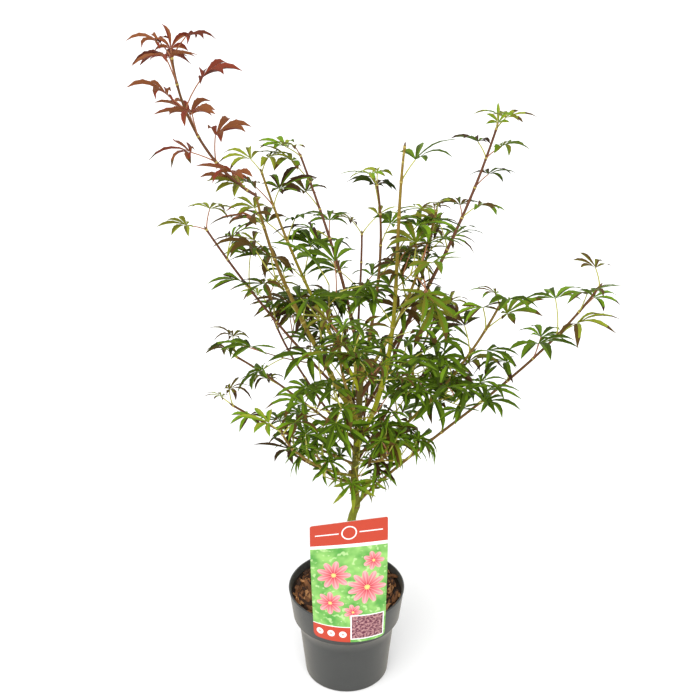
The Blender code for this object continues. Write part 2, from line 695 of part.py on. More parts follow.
def make_red_tip(leader_route, crown):
    """The stem of the leader's young end, from just past the leader's own stem."""
    tip, tip_way = along(leader_route, route_lengths(leader_route)[-1])
    start = tip + tip_way * CLEAR
    way = direction(RED_TIP.lean, RED_TIP.turn)
    end_way = direction(RED_TIP.tip_lean, RED_TIP.tip_turn)
    route = smooth_route(start, way, Vector(RED_TIP.tip), end_way)
    radii = taper(route, RED_TIP.radius, STEM_TIP_RADIUS)
    stem = tube(route, radii, STEM_SIDES, foot_plane=(start, tip_way))
    crown.add(stem, f"{RED_TIP.name}_stem")
    return stem, route


def make_plant(label):
    """All limbs come first, so that the leaves which then grow stay clear of every one of them."""
    rng = random.Random(SEED)
    crown = Crown()
    for made in (make_trunk(), label):
        solid = bmesh.new()
        solid.from_mesh(made.data)
        crown.add(solid, made.name)
        solid.free()
    trunk_tree = crown.placed[0][2]
    stems = {shoot.name: make_shoot(shoot, crown, trunk_tree) for shoot in SHOOTS + TUFTS}
    stems[RED_TIP.name] = make_red_tip(stems["left_leader"][1], crown)
    for name, (stem, route) in stems.items():
        mass = Mass(name, stem, crown, rng)
        grow_mass(mass, route)
        fuse(f"leaves_{name}", mass.pieces, "red_leaves" if name == RED_TIP.name else "leaves")


def main():
    clear_scene()
    rng = random.Random(SEED + 1)
    make_pot()
    make_potting_mix(rng)
    label = make_label()
    make_plant(label)


main()
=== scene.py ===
"""Potted japanese maple: the finish of every piece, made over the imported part.

Metres, +Z up. The origin is the centre of the pot's flat underside, and the label hangs at -Y. The file
is laid out as an add-on whose operators each make one piece or one group of like pieces. Run as a
script, it registers them and calls them in order.
"""

import math
import random
from bisect import bisect_left
from collections import namedtuple

import bmesh
import bpy
import numpy as np
from bpy.props import FloatProperty, FloatVectorProperty, IntProperty, PointerProperty
from mathutils import Euler, Matrix, Quaternion, Vector, noise


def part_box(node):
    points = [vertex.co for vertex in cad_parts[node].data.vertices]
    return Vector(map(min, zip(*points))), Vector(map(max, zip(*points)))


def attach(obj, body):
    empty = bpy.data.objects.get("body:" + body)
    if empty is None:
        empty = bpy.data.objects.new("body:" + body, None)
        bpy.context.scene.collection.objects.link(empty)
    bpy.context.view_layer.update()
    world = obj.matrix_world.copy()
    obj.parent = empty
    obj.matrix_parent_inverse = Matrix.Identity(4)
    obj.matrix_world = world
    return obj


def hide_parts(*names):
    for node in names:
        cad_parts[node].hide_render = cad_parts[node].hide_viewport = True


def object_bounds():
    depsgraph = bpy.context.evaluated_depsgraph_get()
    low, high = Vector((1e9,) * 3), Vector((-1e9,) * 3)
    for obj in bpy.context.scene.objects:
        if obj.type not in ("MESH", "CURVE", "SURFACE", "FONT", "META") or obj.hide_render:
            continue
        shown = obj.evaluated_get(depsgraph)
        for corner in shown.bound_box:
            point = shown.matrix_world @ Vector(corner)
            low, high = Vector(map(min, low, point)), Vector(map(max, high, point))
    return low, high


bl_info = {
    "name": "Potted Japanese Maple",
    "version": (1, 0, 0),
    "blender": (4, 5, 0),
    "location": "3D View > Sidebar > Maple",
    "description": "Dresses a young japanese maple in its round nursery pot",
    "category": "Object",
}

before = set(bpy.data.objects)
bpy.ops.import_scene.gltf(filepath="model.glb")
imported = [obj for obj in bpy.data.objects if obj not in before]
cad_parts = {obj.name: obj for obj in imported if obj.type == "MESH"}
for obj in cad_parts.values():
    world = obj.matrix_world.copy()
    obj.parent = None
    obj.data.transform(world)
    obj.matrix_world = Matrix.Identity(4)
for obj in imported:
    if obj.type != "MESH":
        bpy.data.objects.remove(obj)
CAD_LOW, CAD_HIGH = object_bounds()
POT_LOW, POT_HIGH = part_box("pot")
MIX_LOW, MIX_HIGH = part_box("potting_mix")
LABEL_LOW, LABEL_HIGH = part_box("plant_label")

UP = Vector((0, 0, 1))
GAP = 0.0003  # between neighbouring pieces
HAIR = 0.0001  # added to a gap beside a curved wall

# Pot: a thin round container with a deep collar.
POT_HEIGHT = POT_HIGH.z
RIM_RADIUS = POT_HIGH.x
COLLAR_FOOT_RADIUS = 0.0884
COLLAR_FOOT_HEIGHT = 0.113
BODY_TOP_RADIUS = 0.0786
BODY_TOP_HEIGHT = 0.097
BASE_RADIUS = 0.0693
BASE_EDGE = 0.0025
LIP_DEPTH = 0.0030  # the height of the proud bead round the rim
LIP_STEP = 0.0011  # how far the bead stands out from the collar
DRAIN_HOLES = 6
DRAIN_RADIUS = 0.005
DRAIN_CIRCLE = 0.056
INNER_STEP = 0.0006  # how far the inner corners stand above the outer ones, and in from the foot
RIM_INNER = 0.0014  # how much thicker than the wall the rim is
RIM_INNER_DEPTH = 0.004
INSIDE_SHADE_DEPTH = 0.0004  # how far under the rim's top the painted shade of the inside starts
OUTWARD, INWARD, UPWARD = 0.2, -0.3, 0.5  # how a face of the pot looks, by its normal

# Potting mix and trunk.
SOIL_LEVEL = 0.152
LUMP_HEIGHT = 0.0022
LUMP_DEPTH = 0.0012  # how far the lumpy top lies under the level on the whole
CHIP_SHAPES = 8
CHIP_TRIES = 4  # places tried for each chip that is wanted
CHIP_ALONG = 0.78  # past this share of the radius, chips lie along the wall
CHIP_ROOM = 0.0006  # between a chip and the wall
FORK_HEIGHT = 0.548
TRUNK_LEAN = 0.058  # sideways travel for each metre of height
TRUNK_KINK_HEIGHT = 0.322
TRUNK_KINK = 0.006
TRUNK_KINK_SPAN = 0.020
TRUNK_FOOT_RADIUS = 0.0078
TRUNK_FORK_RADIUS = 0.0041
FLARE = 0.0055
FLARE_HEIGHT = 0.014
KNOBS = ((0.377, 222), (0.346, 60))  # height and turn of each pruned stub
KNOB_RADIUS = 0.0036
KNOB_LENGTH = 0.0115
KNOB_LEAN = 62
PITH_EDGE = 0.0008  # the rim of bark round a stub's pith
PITH_DEPTH = 0.0004
CUT_BAND = 0.0015  # how far down a stub the scar's colour runs
TRUNK_SCARS = (0.050, 0.098, 0.137, 0.166, 0.189, 0.236, 0.262, 0.305, 0.331)  # heights over the foot
SCAR_SWELLING = 0.10
SCAR_REACH = 0.004
TRUNK_SIDES = 28
STUB_SIDES = 14
LIMB_SIDES = 10

# Bark's ridges, as how fast they change round a limb and along it.
RIDGES = 1.7, 60.0
FINE_RIDGES = 4.0, 220.0
FINE_SHARE = 0.6  # the height of the fine ridges against the others'
NODE_RINGS = (-0.0036, -0.0012, 0.0012, 0.0036)  # a limb's rings beside each node
RING_CLEAR = 0.0042  # no other ring stands nearer to a node
NODE_BAND = 0.0013  # half the width of a node's pale ring
NODE_REACH = 0.0030  # how far its swelling runs
BOUGH_SCARS = (0.55, 0.95)  # places of old leaf scars along a bare bough
SHOULDER = 0.55  # how much a limb is flared where it leaves the trunk
SHOULDER_REACH = 0.006

# Buds, by length and width.
END_BUD = 0.006, 0.0030
SIDE_BUD = 0.0045, 0.0024
STUB_BUD = 0.0085, 0.0042
STUB_NODES = (0.014, 0.026)  # how far back from its tip the bare stem's pairs stand

# Plant label: a card against the collar, with a tongue hooked over the rim.
LABEL_WIDTH = 0.120
LABEL_FOOT = 0.126
LABEL_TOP = 0.351
LABEL_THICKNESS = 0.0009
LABEL_FOOT_ROUND = 0.009
LABEL_TOP_ROUND = 0.003
LABEL_YAW = 13  # how far the free top of the card is turned, right side back
LABEL_YAW_FROM = 0.25  # the share of the card's height where it starts to turn
LABEL_CENTRE_X = 0.0045
LABEL_RADIUS = RIM_RADIUS + 0.0012
LABEL_UNBEND = 1.3  # how fast the bend goes out of the card towards its top
TONGUE_WIDTH = 0.026
TONGUE_FOOT = 0.1555
TONGUE_THICKNESS = 0.0011
TONGUE_INSET = 0.0068  # how far inside the rim the hook hangs

# The card's print, in millimetres from the card's lower left corner.
HEADER = 40  # depth of the band across the top
HEADER_RULE = 6
RING_RADII = 10.0, 12.0
STROKE = 8, 44  # where the stroke left of the ring starts and ends
STROKE_HALF = 1
ROSETTES = ((36, 128, 27, 9), (88, 104, 31, 11), (30, 74, 22, 8), (98, 152, 17, 7), (66, 58, 15, 7))
PETAL_DEPTH = 0.42  # how deep the gaps between petals are, as a share of the radius
ROSETTE_EYE = 0.16  # the size of a rosette's middle, as a share of its petals
INSET = 62, 5, 117, 52  # left, low, right and high sides of the small inset
INSET_EDGE = 2
FOOT_BAND = 62, 28
FOOT_RULE = 1.5
DISCS = 12, 31, 50
DISC_HEIGHT = 14.5
DISC_RADIUS = 6.0
DISC_DOT = 2.2
PRINT_WHITE = (0.87, 0.86, 0.84)
PETAL_VEIN = (0.86, 0.55, 0.54)
POLLEN = (0.80, 0.62, 0.20)
DAPPLE = (0.52, 0.72, 0.33)
DOT_COLOUR = (0.80, 0.35, 0.30)
INSET_COLOURS = (0.11, 0.02, 0.045), (0.46, 0.24, 0.24)

# Shoots. Leans are degrees from upright, turns are degrees about +Z from +X, and a tip is where
# the woody stem ends. The first share of a shoot is a bare bough, and the rest carries leaves.
Shoot = namedtuple("Shoot", "name height lean turn tip tip_lean tip_turn radius bare bark")
SHOOTS = (
    Shoot("right_long", 0.322, 46, 12, (0.352, -0.060, 0.712), 32, 3, 0.0024, 0.33, "brown"),
    Shoot("front_left_low", 0.372, 60, -118, (-0.085, -0.180, 0.545), 38, -100, 0.0021, 0.22, "olive"),
    Shoot("left_low", 0.392, 57, -163, (-0.166, -0.060, 0.527), 51, -163, 0.0019, 0.30, "brown"),
    Shoot("back_right_low", 0.392, 62, 58, (0.150, 0.190, 0.575), 30, 50, 0.0022, 0.24, "russet"),
    Shoot("front_right", 0.412, 57, -48, (0.207, -0.110, 0.703), 24, -41, 0.0024, 0.25, "olive"),
    Shoot("back_left_low", 0.412, 62, 122, (-0.130, 0.190, 0.590), 30, 125, 0.0022, 0.24, "russet"),
    Shoot("centre_tall", 0.428, 28, -8, (0.078, -0.050, 0.905), 7, -36, 0.0040, 0.24, "lime"),
    Shoot("left_mid", 0.436, 66, 158, (-0.172, 0.070, 0.545), 62, 172, 0.0020, 0.26, "brown"),
    Shoot("front_centre", 0.452, 52, -84, (-0.010, -0.175, 0.690), 14, -90, 0.0023, 0.22, "olive"),
    Shoot("left_leader", 0.462, 24, -176, (-0.123, -0.020, 0.829), 9, -173, 0.0040, 0.26, "olive"),
    Shoot("back_right", 0.472, 60, 52, (0.135, 0.135, 0.745), 10, 40, 0.0025, 0.24, "russet"),
    Shoot("back_centre", 0.480, 50, 96, (0.025, 0.215, 0.700), 14, 90, 0.0025, 0.24, "russet"),
    Shoot("left_slender", 0.488, 50, 160, (-0.206, 0.060, 0.756), 34, 165, 0.0023, 0.24, "russet"),
    Shoot("right_tall", 0.512, 40, 26, (0.220, 0.110, 0.894), 19, 28, 0.0033, 0.24, "russet"),
    Shoot("left_back_tall", 0.522, 34, 150, (-0.127, 0.125, 0.825), 24, 139, 0.0029, 0.24, "lime"),
    Shoot("back_tall", 0.532, 26, 100, (-0.070, 0.165, 0.840), 34, 128, 0.0029, 0.24, "russet"),
    Shoot("right_mid", 0.536, 34, -32, (0.128, 0.010, 0.800), 12, 20, 0.0026, 0.24, "olive"),
    Shoot("centre_back", 0.544, 26, 60, (0.045, 0.075, 0.820), 10, 170, 0.0027, 0.22, "brown"),
)
# Short shoots that sit on the trunk with no bough, leafy from their foot.
TUFTS = (
    Shoot("foot_tuft", 0.330, 50, -120, (0.004, -0.030, 0.385), 30, -100, 0.0018, 0.0, "olive"),
    Shoot("right_foot_tuft", 0.345, 58, -25, (0.070, -0.035, 0.410), 50, -20, 0.0018, 0.0, "olive"),
    Shoot("left_foot_tuft", 0.356, 62, -168, (-0.088, -0.030, 0.432), 55, -170, 0.0020, 0.0, "brown"),
    Shoot("front_tuft", 0.402, 64, -72, (0.060, -0.120, 0.480), 40, -66, 0.0020, 0.0, "olive"),
    Shoot("back_tuft", 0.366, 62, 85, (0.035, 0.125, 0.470), 35, 85, 0.0020, 0.0, "brown"),
)
# The leader's young end grows on from its stem's tip, bent over to the left.
RED_TIP = Shoot("red_tip", 0.829, 62, 178, (-0.226, -0.020, 1.014), 3, 175, 0.0021, 0.0, "wine")

STEM_TIP_RADIUS = 0.0017
BOUGH_TAPER = 0.92  # a bough's radius at its tip, as a share of its foot's
ROUTE_STEP = 0.004
FIRST_NODE = 0.014
LAST_NODE = 0.002  # how far the last pair stands short of the tip
NODE_CROWDING = 0.80  # under 1, the leaf pairs stand closer towards a shoot's tip
STALK_BEND = 18  # degrees from the stalk's rise down to the blade's slope
STALK_RADII = (0.0012, 0.0010, 0.00092, 0.00088, 0.00085)
STALK_SIDES = 4
PINK_STALKS = 0.15, 0.50  # the share of pink stalks on shoots of pale bark and of dark
STEM_TURN = 18  # the most that a pair of leaves is turned out of its place
# A blade's slope in degrees: its least and its most, low in the crown, high in it and on a tuft.
LOW_SLOPES = -24, 5
HIGH_SLOPES = -10, 22
TUFT_SLOPES = -48, -6
# Where a habit starts to change with height, and over what span it does.
SLOPE_RISE = 0.40, 0.3
SHAPE_RISE = 0.42, 0.36
TINT_RISE = 0.38, 0.5
TWIG_FADE = 0.74, -0.18
BLADE_ROLL = 0.35  # the most that a blade rolls to a side, low in the crown
HIGH_ROLL_LOSS = 0.15
LEAF_GAP = 0.017  # between two leaves' hubs
SHRINKS = (1.0, 0.84, 0.70)  # the sizes tried for a leaf, against its own
UPRIGHT_SHRINKS = (1.0, 0.9, 0.8, 0.7, 0.6, 0.5)
TWIG_REGION = 0.7  # the share of a stem that can bear twigs
TWIG_MOST, TWIG_LEAST = 1.6, 0.15  # how often twigs come by the axis and far out
TWIG_SPREAD = 0.12  # the spread over which they would thin out by one whole setting
TWIG_SHORTENING = 0.4  # how much shorter the twigs are towards a stem's tip
TWIG_LEAF_SCALE = 0.88
TWIG_MIDDLE_SCALE = 0.85
TWIG_LEANS = 42, 60
TWIG_LIFT = 0.25
TWIG_ARCH = 0.12  # how far a twig's tip is lifted, as a share of its length
TWIG_RADIUS = 0.0012
TWIG_TAPER = 0.06
TWIG_SIDES = 6
FORKING_TWIG = 0.030  # a longer twig bears more at its middle
FINE_TWIG_CHANCE = 0.35
# What each finer order of twigs is to the one before, in length, thickness and leaves.
FINER_LENGTH = 0.62
FINER_RADIUS = 0.8
FINER_LEAVES = 0.9
TIP_LEAF_SCALE = 0.80
LEAF_SHORTENING = 0.15  # how much smaller the leaves are towards a stem's tip
RED_LEAF_SCALES = 1.25, 0.95  # along the red tip and at its end, against the next value
RED_LEAF_SCALE = 0.70
RED_NODE_STEP = 0.044
UPRIGHT_TIPS = {"red_tip": 0.60, "right_tall": 0.46}  # scale of the young leaf on top of a shoot
UPRIGHT_LEAN = 32  # degrees from upright
UPRIGHT_TURN = 105
# The share of the places along a shoot that bear a leaf, where it is less than all.
FULLNESS = {
    "left_low": 0.30, "left_mid": 0.38, "back_left_low": 0.36, "back_tall": 0.60,
    "left_slender": 0.76, "back_centre": 0.62, "centre_back": 0.42, "back_right": 0.56,
    "right_mid": 0.62, "left_back_tall": 0.90, "front_left_low": 0.85, "back_right_low": 0.80,
    "front_right": 0.90,
}
SHIFTS = (0, 24, -24, 48, -48)  # the turns tried for a leaf that has no room as it is
TUFT_SHIFTS = (*SHIFTS, 90, -90, 130, -130, 180)
# How often a place low on a shoot bears a twig, against the setting.
TWIGGY = {"front_left_low": 1.9, "front_centre": 2.0, "front_right": 1.4, "front_tuft": 1.8}
# How large a shoot's leaves are, against the others'.
LEAF_SCALES = {
    "left_low": 0.78, "left_mid": 0.84, "right_tall": 0.86, "foot_tuft": 0.80, "left_leader": 1.08,
    "left_back_tall": 1.20, "centre_tall": 1.12, "back_tall": 1.08,
    "front_centre": 0.90, "front_left_low": 0.94, "front_right": 0.95, "right_long": 1.12,
}
TUFT_STEP = 0.70  # the step between a tuft's nodes, as a share of a stem's
BOX_SPARE = 0.020  # how far a mass may grow past its solid's box
BOX_CLEAR = 0.001  # how far it stays inside the whole part's box
LEAF_FLOOR = 0.305  # no leaf hangs lower beside the trunk
CROWN_RISES = 1.22, 1.02  # how steeply the crown's underside rises on the left and on the right
CROWN_FOOT = 0.042  # the spread at which it starts to rise
# Stems that show along their length, beside the tallest.
SEEN_STEMS = ("left_leader", "left_back_tall", "back_tall", "right_tall", "left_slender")
SEEN_FROM = 0.68  # the height from which they show
SEEN_TRUNK = 0.375  # the height from which the trunk shows among the leaves
SEEN_TRUNK_STEP = 0.010
SEEN_TRUNK_STEPS = 6
LANE_STEP = 0.012
LANE_END = 0.99  # the share of a line of sight that leaves spare: what stands behind a stem may cross
# Lanes by half width and by the share of the leaves that spare them.
TRUNK_LANE = 0.005, 0.90
TALL_LANE = 0.003, 0.88
SIDE_LANE = 0.0035, 0.66
BARE_TIP = "centre_tall"  # the shoot that ends in a bare budded stem
# The crown's lower edge seen from the front: (x, height), above the pot's axis.
CROWN_HEM = (
    (-0.20, 0.500), (-0.15, 0.450), (-0.115, 0.420), (-0.10, 0.375), (-0.04, 0.360),
    (-0.028, 0.305), (0.066, 0.305), (0.080, 0.385), (0.10, 0.405), (0.135, 0.405),
    (0.165, 0.450), (0.20, 0.470), (0.35, 0.500),
)
LOOK_DOWN = 0.446  # how much lower a place a metre nearer the front is seen
OPENING_SHARE = 0.94  # the share of the leaves that spare the openings
# Where the sky shows through the crown: by half width, the places' (x, height) above the axis.
OPENINGS = {
    0.022: ((0.165, 0.705), (-0.170, 0.665), (0.025, 0.885), (0.145, 0.850)),
    0.016: ((-0.190, 0.550), (-0.120, 0.615), (0.0, 0.815), (0.030, 0.755), (0.245, 0.695)),
    0.012: ((-0.015, 0.695), (0.020, 0.715), (0.030, 0.825), (0.110, 0.825), (-0.080, 0.810)),
    0.013: ((0.115, 0.410), (-0.040, 0.370), (0.220, 0.615)),
}

# One leaf in its own frame: lobes as (turn, length), in shares of the middle lobe.
LOBES = ((-128, 0.30), (-82, 0.70), (-41, 0.93), (0, 1.0), (41, 0.93), (82, 0.70), (128, 0.30))
YOUNG_LOBES = ((-76, 0.62), (-38, 0.95), (0, 1.0), (38, 0.95), (76, 0.62))
NOTCH_REACH = 0.10
SMALL_NOTCH_REACH = 0.06
STATIONS = (0.0, NOTCH_REACH, 0.28, 0.45, 0.62, 0.80, 1.0)
SMALL_STATIONS = (0.0, 0.3, 0.62, 1.0)
LEAF_SHAPES = 16
YOUNG_SHAPES = 6
SMALL_LOBE = 0.5  # a shorter lobe is a small one
SMALL_LOBE_WIDTH = 0.72
LOBE_SKEW = 1.2  # over 1, a lobe is widest past its middle
DROOP_BEND = 2.3  # how late along a lobe its droop sets in
SHOULDER_TURN = 26  # degrees from the last lobe to the leaf's shoulder
OUTER_TURN = 100  # lobes turned further stand at the stalk
TOOTH_PLACE = 0.34  # where on an edge its notch is
TOOTH_BACK = 0.06  # how far a notch of the saw edge cuts in, as a share of the half width
LEAF_WIDTHS = 0.78, 0.32  # half width of a low leaf against the setting, and what a high one adds
LEAF_DROOPS = 0.58, 0.20  # droop of a low leaf, and what a high one lacks
YOUNG_DROOP = 0.42

LEADER_FROM, TIPS_FROM = 0.8, 0.25  # the shares of the tint's rise where sprays of their own start
SHADED_SPREAD = 0.10  # leaves this near the middle of the crown are often dealt a darker green as painted shade
SHADED_HEIGHTS = 0.46, 0.75
TINTS = (
    "deep", "mid", "bright", "olive", "lime", "bronze", "purple", "shade", "rust", "red", "wine",
)
# The darker tints of a green blade's tips, which also darken leaves inside the crown as painted shade,
# and the tints of one half of each lobe, a lighter or darker green that is painted light and shade of
# the lobe's fold; each where it isn't brown.
TIP_AND_SHADE_TINTS = {"deep": "shade", "mid": "deep", "bright": "mid", "olive": "bronze", "lime": "olive"}
FOLD_LIGHT_AND_SHADE = {"deep": "mid", "mid": "deep", "bright": "deep", "olive": "mid", "lime": "bright"}
# How often each green is dealt: low on the plant, and what is added high on it. The fresh greens dealt
# mostly low are partly painted light, brightening the low leaves as a light from the front would.
GREENS = {
    "deep": (0.7, 1.1), "mid": (3.4, 0.0), "bright": (6.2, -4.9), "olive": (0.3, 2.2),
    "lime": (0.7, -0.1),
}
# Sprays dealt whole, as (blades, their tips, one half of each lobe), with how often each comes. A half's
# lighter or darker tint is partly painted light and shade of the lobe's fold.
RED_SPRAYS = {("rust", "red", "red"): 4, ("red", "wine", "wine"): 3, ("rust", "bronze", "red"): 3}
LEADER_SPRAYS = {
    ("olive", "rust", "lime"): 3, ("lime", "bronze", "bright"): 3, ("rust", "bronze", "bronze"): 2,
}
TIP_SPRAYS = {
    ("lime", "olive", "bright"): 3, ("olive", "bronze", "lime"): 5, ("bronze", "purple", "olive"): 3,
}
FOOT_SPRAYS = (("bright", "lime", "mid"), ("lime", "olive", "bright"))
BROWNS = {"bronze": 3, "purple": 2}
# The chance of brown on whole blades, on tips and on halves: low on the plant, and more with height.
BROWN_BLADES = 0.02, 0.22
BROWN_TIPS = 0.25, 0.55
BROWN_HALVES = 0.08, 0.55
SHADED_CHANCE = 0.45

# Light and camera.
KEY_SPREAD = 64  # degrees across the soft key light
KEY_TURN = (36, -10, 0)
SENSOR_WIDTH = 36.0
SIGHT_END = 200.0


# --- Sizes and colours that a user would change -------------------------------------------------


def colour_setting(name, description, default):
    return FloatVectorProperty(name=name, description=description, default=default, subtype="COLOR")


def length_setting(name, description, default):
    return FloatProperty(name=name, description=description, default=default, unit="LENGTH")


def share_setting(name, description, default):
    return FloatProperty(name=name, description=description, default=default, subtype="FACTOR")


class MaplePotSettings(bpy.types.PropertyGroup):
    """The nursery pot."""

    wall: length_setting("Wall", "Thickness of the pot's wall", 0.0016)
    steps: IntProperty(name="Steps", description="Steps round the pot", default=128, min=16)
    plastic: colour_setting("Plastic", "Colour of the outside", (0.044, 0.0462, 0.0450))
    # The inside's near-black colour is painted shade: it darkens the pot's inside as the shade in it
    # would.
    lining: colour_setting("Lining", "Colour of the inside", (0.0045, 0.0042, 0.0040))


class MapleMixSettings(bpy.types.PropertyGroup):
    """The potting mix and its bark chips."""

    chips: IntProperty(name="Chips", description="Loose bark chips on top", default=620, min=1)
    chip_length: length_setting("Chip length", "Usual length of a chip", 0.021)
    earth: colour_setting("Earth", "Colour of the mix under the chips", (0.018, 0.009, 0.005))
    bark: colour_setting("Bark", "Colour of most chips", (0.165, 0.066, 0.022))
    pale_bark: colour_setting("Pale bark", "Colour of split chips", (0.420, 0.205, 0.080))
    dark_bark: colour_setting("Dark bark", "Colour of wet chips", (0.036, 0.015, 0.007))


class MapleLabelSettings(bpy.types.PropertyGroup):
    """The card label and its plain printed pattern."""

    coral: colour_setting("Coral", "Colour of the bands", (0.500, 0.052, 0.024))
    field: colour_setting("Field", "Green behind the rosettes", (0.090, 0.330, 0.055))
    field_light: colour_setting("Light field", "Pale green behind the rosettes", (0.290, 0.570, 0.150))
    petal: colour_setting("Petal", "Crimson of the rosettes", (0.560, 0.045, 0.070))
    petal_light: colour_setting("Light petal", "Pink of the rosettes", (0.740, 0.290, 0.300))


class MapleWoodSettings(bpy.types.PropertyGroup):
    """Trunk, boughs and stems."""

    ring_step: length_setting("Ring step", "Length of one ring of faces", 0.0042)
    relief: share_setting("Relief", "Height of the bark's ridges, as a share of the radius", 0.075)
    swelling: share_setting("Swelling", "How much a node stands out, as a share of the radius", 0.30)
    trunk_top: colour_setting("Trunk top", "Colour of the trunk among the leaves", (0.120, 0.105, 0.020))
    trunk: colour_setting("Trunk", "Colour of the trunk's bark", (0.240, 0.300, 0.022))
    scar: colour_setting("Scar", "Colour of cuts and old scars", (0.130, 0.075, 0.040))
    lime: colour_setting("Lime", "Young yellow-green bark", (0.360, 0.400, 0.014))
    olive: colour_setting("Olive", "Olive bark", (0.280, 0.240, 0.018))
    brown: colour_setting("Brown", "Olive-brown bark", (0.230, 0.140, 0.030))
    russet: colour_setting("Russet", "Brown-red bark", (0.150, 0.066, 0.024))
    wine: colour_setting("Wine", "Bark of the reddest tip", (0.150, 0.060, 0.034))
    collar: colour_setting("Collar", "Pale ring at each node", (0.420, 0.330, 0.090))


class MapleLeafSettings(bpy.types.PropertyGroup):
    """Leaves, stalks and twigs."""

    seed: IntProperty(name="Seed", description="Seed of the growth", default=15)
    node_step: length_setting("Node step", "Distance between pairs of leaves", 0.058)
    blade_reach: length_setting("Blade reach", "Length of a full leaf's middle lobe", 0.066)
    stalk_length: length_setting("Stalk length", "Length of a full leaf's stalk", 0.042)
    lobe_half_width: share_setting("Lobe half width", "As a share of the lobe's length", 0.094)
    twig_length: length_setting("Twig length", "Length of a side twig", 0.072)
    twig_chance: share_setting("Twig chance", "Share of low leaf places that carry a twig", 0.46)
    deep: colour_setting("Deep", "Deep green", (0.048, 0.082, 0.005))
    mid: colour_setting("Mid", "Middle green", (0.096, 0.166, 0.008))
    bright: colour_setting("Bright", "Fresh green", (0.138, 0.245, 0.012))
    olive: colour_setting("Olive", "Olive green", (0.130, 0.134, 0.012))
    lime: colour_setting("Lime", "Yellow-green of young leaves", (0.225, 0.262, 0.022))
    bronze: colour_setting("Bronze", "Brown-green", (0.080, 0.046, 0.010))
    purple: colour_setting("Purple", "Purple-brown", (0.046, 0.024, 0.010))
    shade: colour_setting("Shade", "Darkest green-brown", (0.026, 0.040, 0.003))
    rust: colour_setting("Rust", "Rust red", (0.210, 0.072, 0.026))
    red: colour_setting("Red", "Red", (0.200, 0.040, 0.020))
    wine: colour_setting("Wine", "Dark red", (0.120, 0.030, 0.016))
    stalk: colour_setting("Stalk", "Yellow-green stalks", (0.440, 0.430, 0.080))
    pink_stalk: colour_setting("Pink stalk", "Pink-brown stalks", (0.360, 0.150, 0.070))


class MapleStageSettings(bpy.types.PropertyGroup):
    """Floor, lights and camera."""

    floor_width: length_setting("Floor width", "Width of the pale floor", 60.0)
    floor: colour_setting("Floor", "Colour of the floor", (0.88, 0.88, 0.88))
    sky_strength: FloatProperty(
        name="Sky strength", description="Strength of the even light", default=0.95
    )
    sun_strength: FloatProperty(
        name="Sun strength", description="Strength of the soft key light", default=2.5
    )
    lens: FloatProperty(name="Lens", description="Camera lens", default=54.0, unit="CAMERA")
    camera_pitch: FloatProperty(
        name="Camera pitch", description="How far the camera looks down",
        default=math.radians(24.05), subtype="ANGLE",
    )
    camera_place: FloatVectorProperty(
        name="Camera place", description="Where the camera stands", subtype="TRANSLATION",
        unit="LENGTH", default=(0.00577, -1.4225, 1.22256),
    )


class MapleSettings(bpy.types.PropertyGroup):
    """All of the maple's settings."""

    pot: PointerProperty(type=MaplePotSettings)
    mix: PointerProperty(type=MapleMixSettings)
    label: PointerProperty(type=MapleLabelSettings)
    wood: PointerProperty(type=MapleWoodSettings)
    leaf: PointerProperty(type=MapleLeafSettings)
    stage: PointerProperty(type=MapleStageSettings)


# --- Materials ----------------------------------------------------------------------------------


class Finish:
    """A material's nodes, added one by one round its Principled shader."""

    def __init__(self, name, **sockets):
        self.material = bpy.data.materials.new(name)
        self.material.use_nodes = True
        self.tree = self.material.node_tree
        self.shader = self.tree.nodes["Principled BSDF"]
        self.show(**sockets)

    def show(self, **sockets):
        """Fills the shader's sockets, each named with underscores for its spaces."""
        for socket, value in sockets.items():
            self.put(self.shader.inputs[socket.replace("_", " ")], value)

    def put(self, socket, value):
        """Links another node's output into a socket, or sets the socket's own value."""
        if isinstance(value, bpy.types.NodeSocket):
            self.tree.links.new(value, socket)
        elif socket.type == "RGBA" and len(value) == 3:
            socket.default_value = (*value, 1.0)
        else:
            socket.default_value = value

    def node(self, kind, output=0, inputs=(), **settings):
        made = self.tree.nodes.new(kind)
        for name, value in settings.items():
            setattr(made, name, value)
        for key, value in dict(inputs).items():
            self.put(made.inputs[key], value)
        return made.outputs[output]

    def place(self, stretch=(1, 1, 1)):
        """Object coordinates, stretched along each axis."""
        spot = self.node("ShaderNodeTexCoord", "Object")
        return self.node("ShaderNodeMapping", inputs={"Vector": spot, "Scale": stretch})

    def map(self, name, stretch=(1, 1, 1)):
        """The piece's own map, stretched along each axis."""
        spot = self.node("ShaderNodeUVMap", uv_map=name)
        return self.node("ShaderNodeMapping", inputs={"Vector": spot, "Scale": stretch})

    def axis(self, spot, index):
        """One coordinate of a spot: 0 for X and 1 for Y."""
        return self.node("ShaderNodeSeparateXYZ", index, inputs={0: spot})

    def grain(self, spot, scale, detail=4.0, roughness=0.55):
        """Soft noise from 0 to 1."""
        values = {"Vector": spot, "Scale": scale, "Detail": detail, "Roughness": roughness}
        return self.node("ShaderNodeTexNoise", inputs=values)

    def fit(self, value, low, high, to_low=0.0, to_high=1.0):
        """A value's place between low and high, spread over the second range."""
        values = {0: value, 1: low, 2: high, 3: to_low, 4: to_high}
        return self.node("ShaderNodeMapRange", inputs=values)

    def mix(self, share, first, second):
        """Two colours mixed by the share of the second."""
        values = {0: share, 6: first, 7: second}
        return self.node("ShaderNodeMix", 2, inputs=values, data_type="RGBA")

    def math(self, operation, first, second=0.0):
        values = {0: first, 1: second}
        return self.node("ShaderNodeMath", inputs=values, operation=operation)

    def bump(self, height, strength, distance):
        values = {"Strength": strength, "Distance": distance, "Height": height}
        self.put(self.shader.inputs["Normal"], self.node("ShaderNodeBump", inputs=values))


def toned(colour, share, lift=0.0):
    """A colour made darker or paler by a share, then lifted."""
    return tuple(min(channel * share + lift, 1.0) for channel in colour)


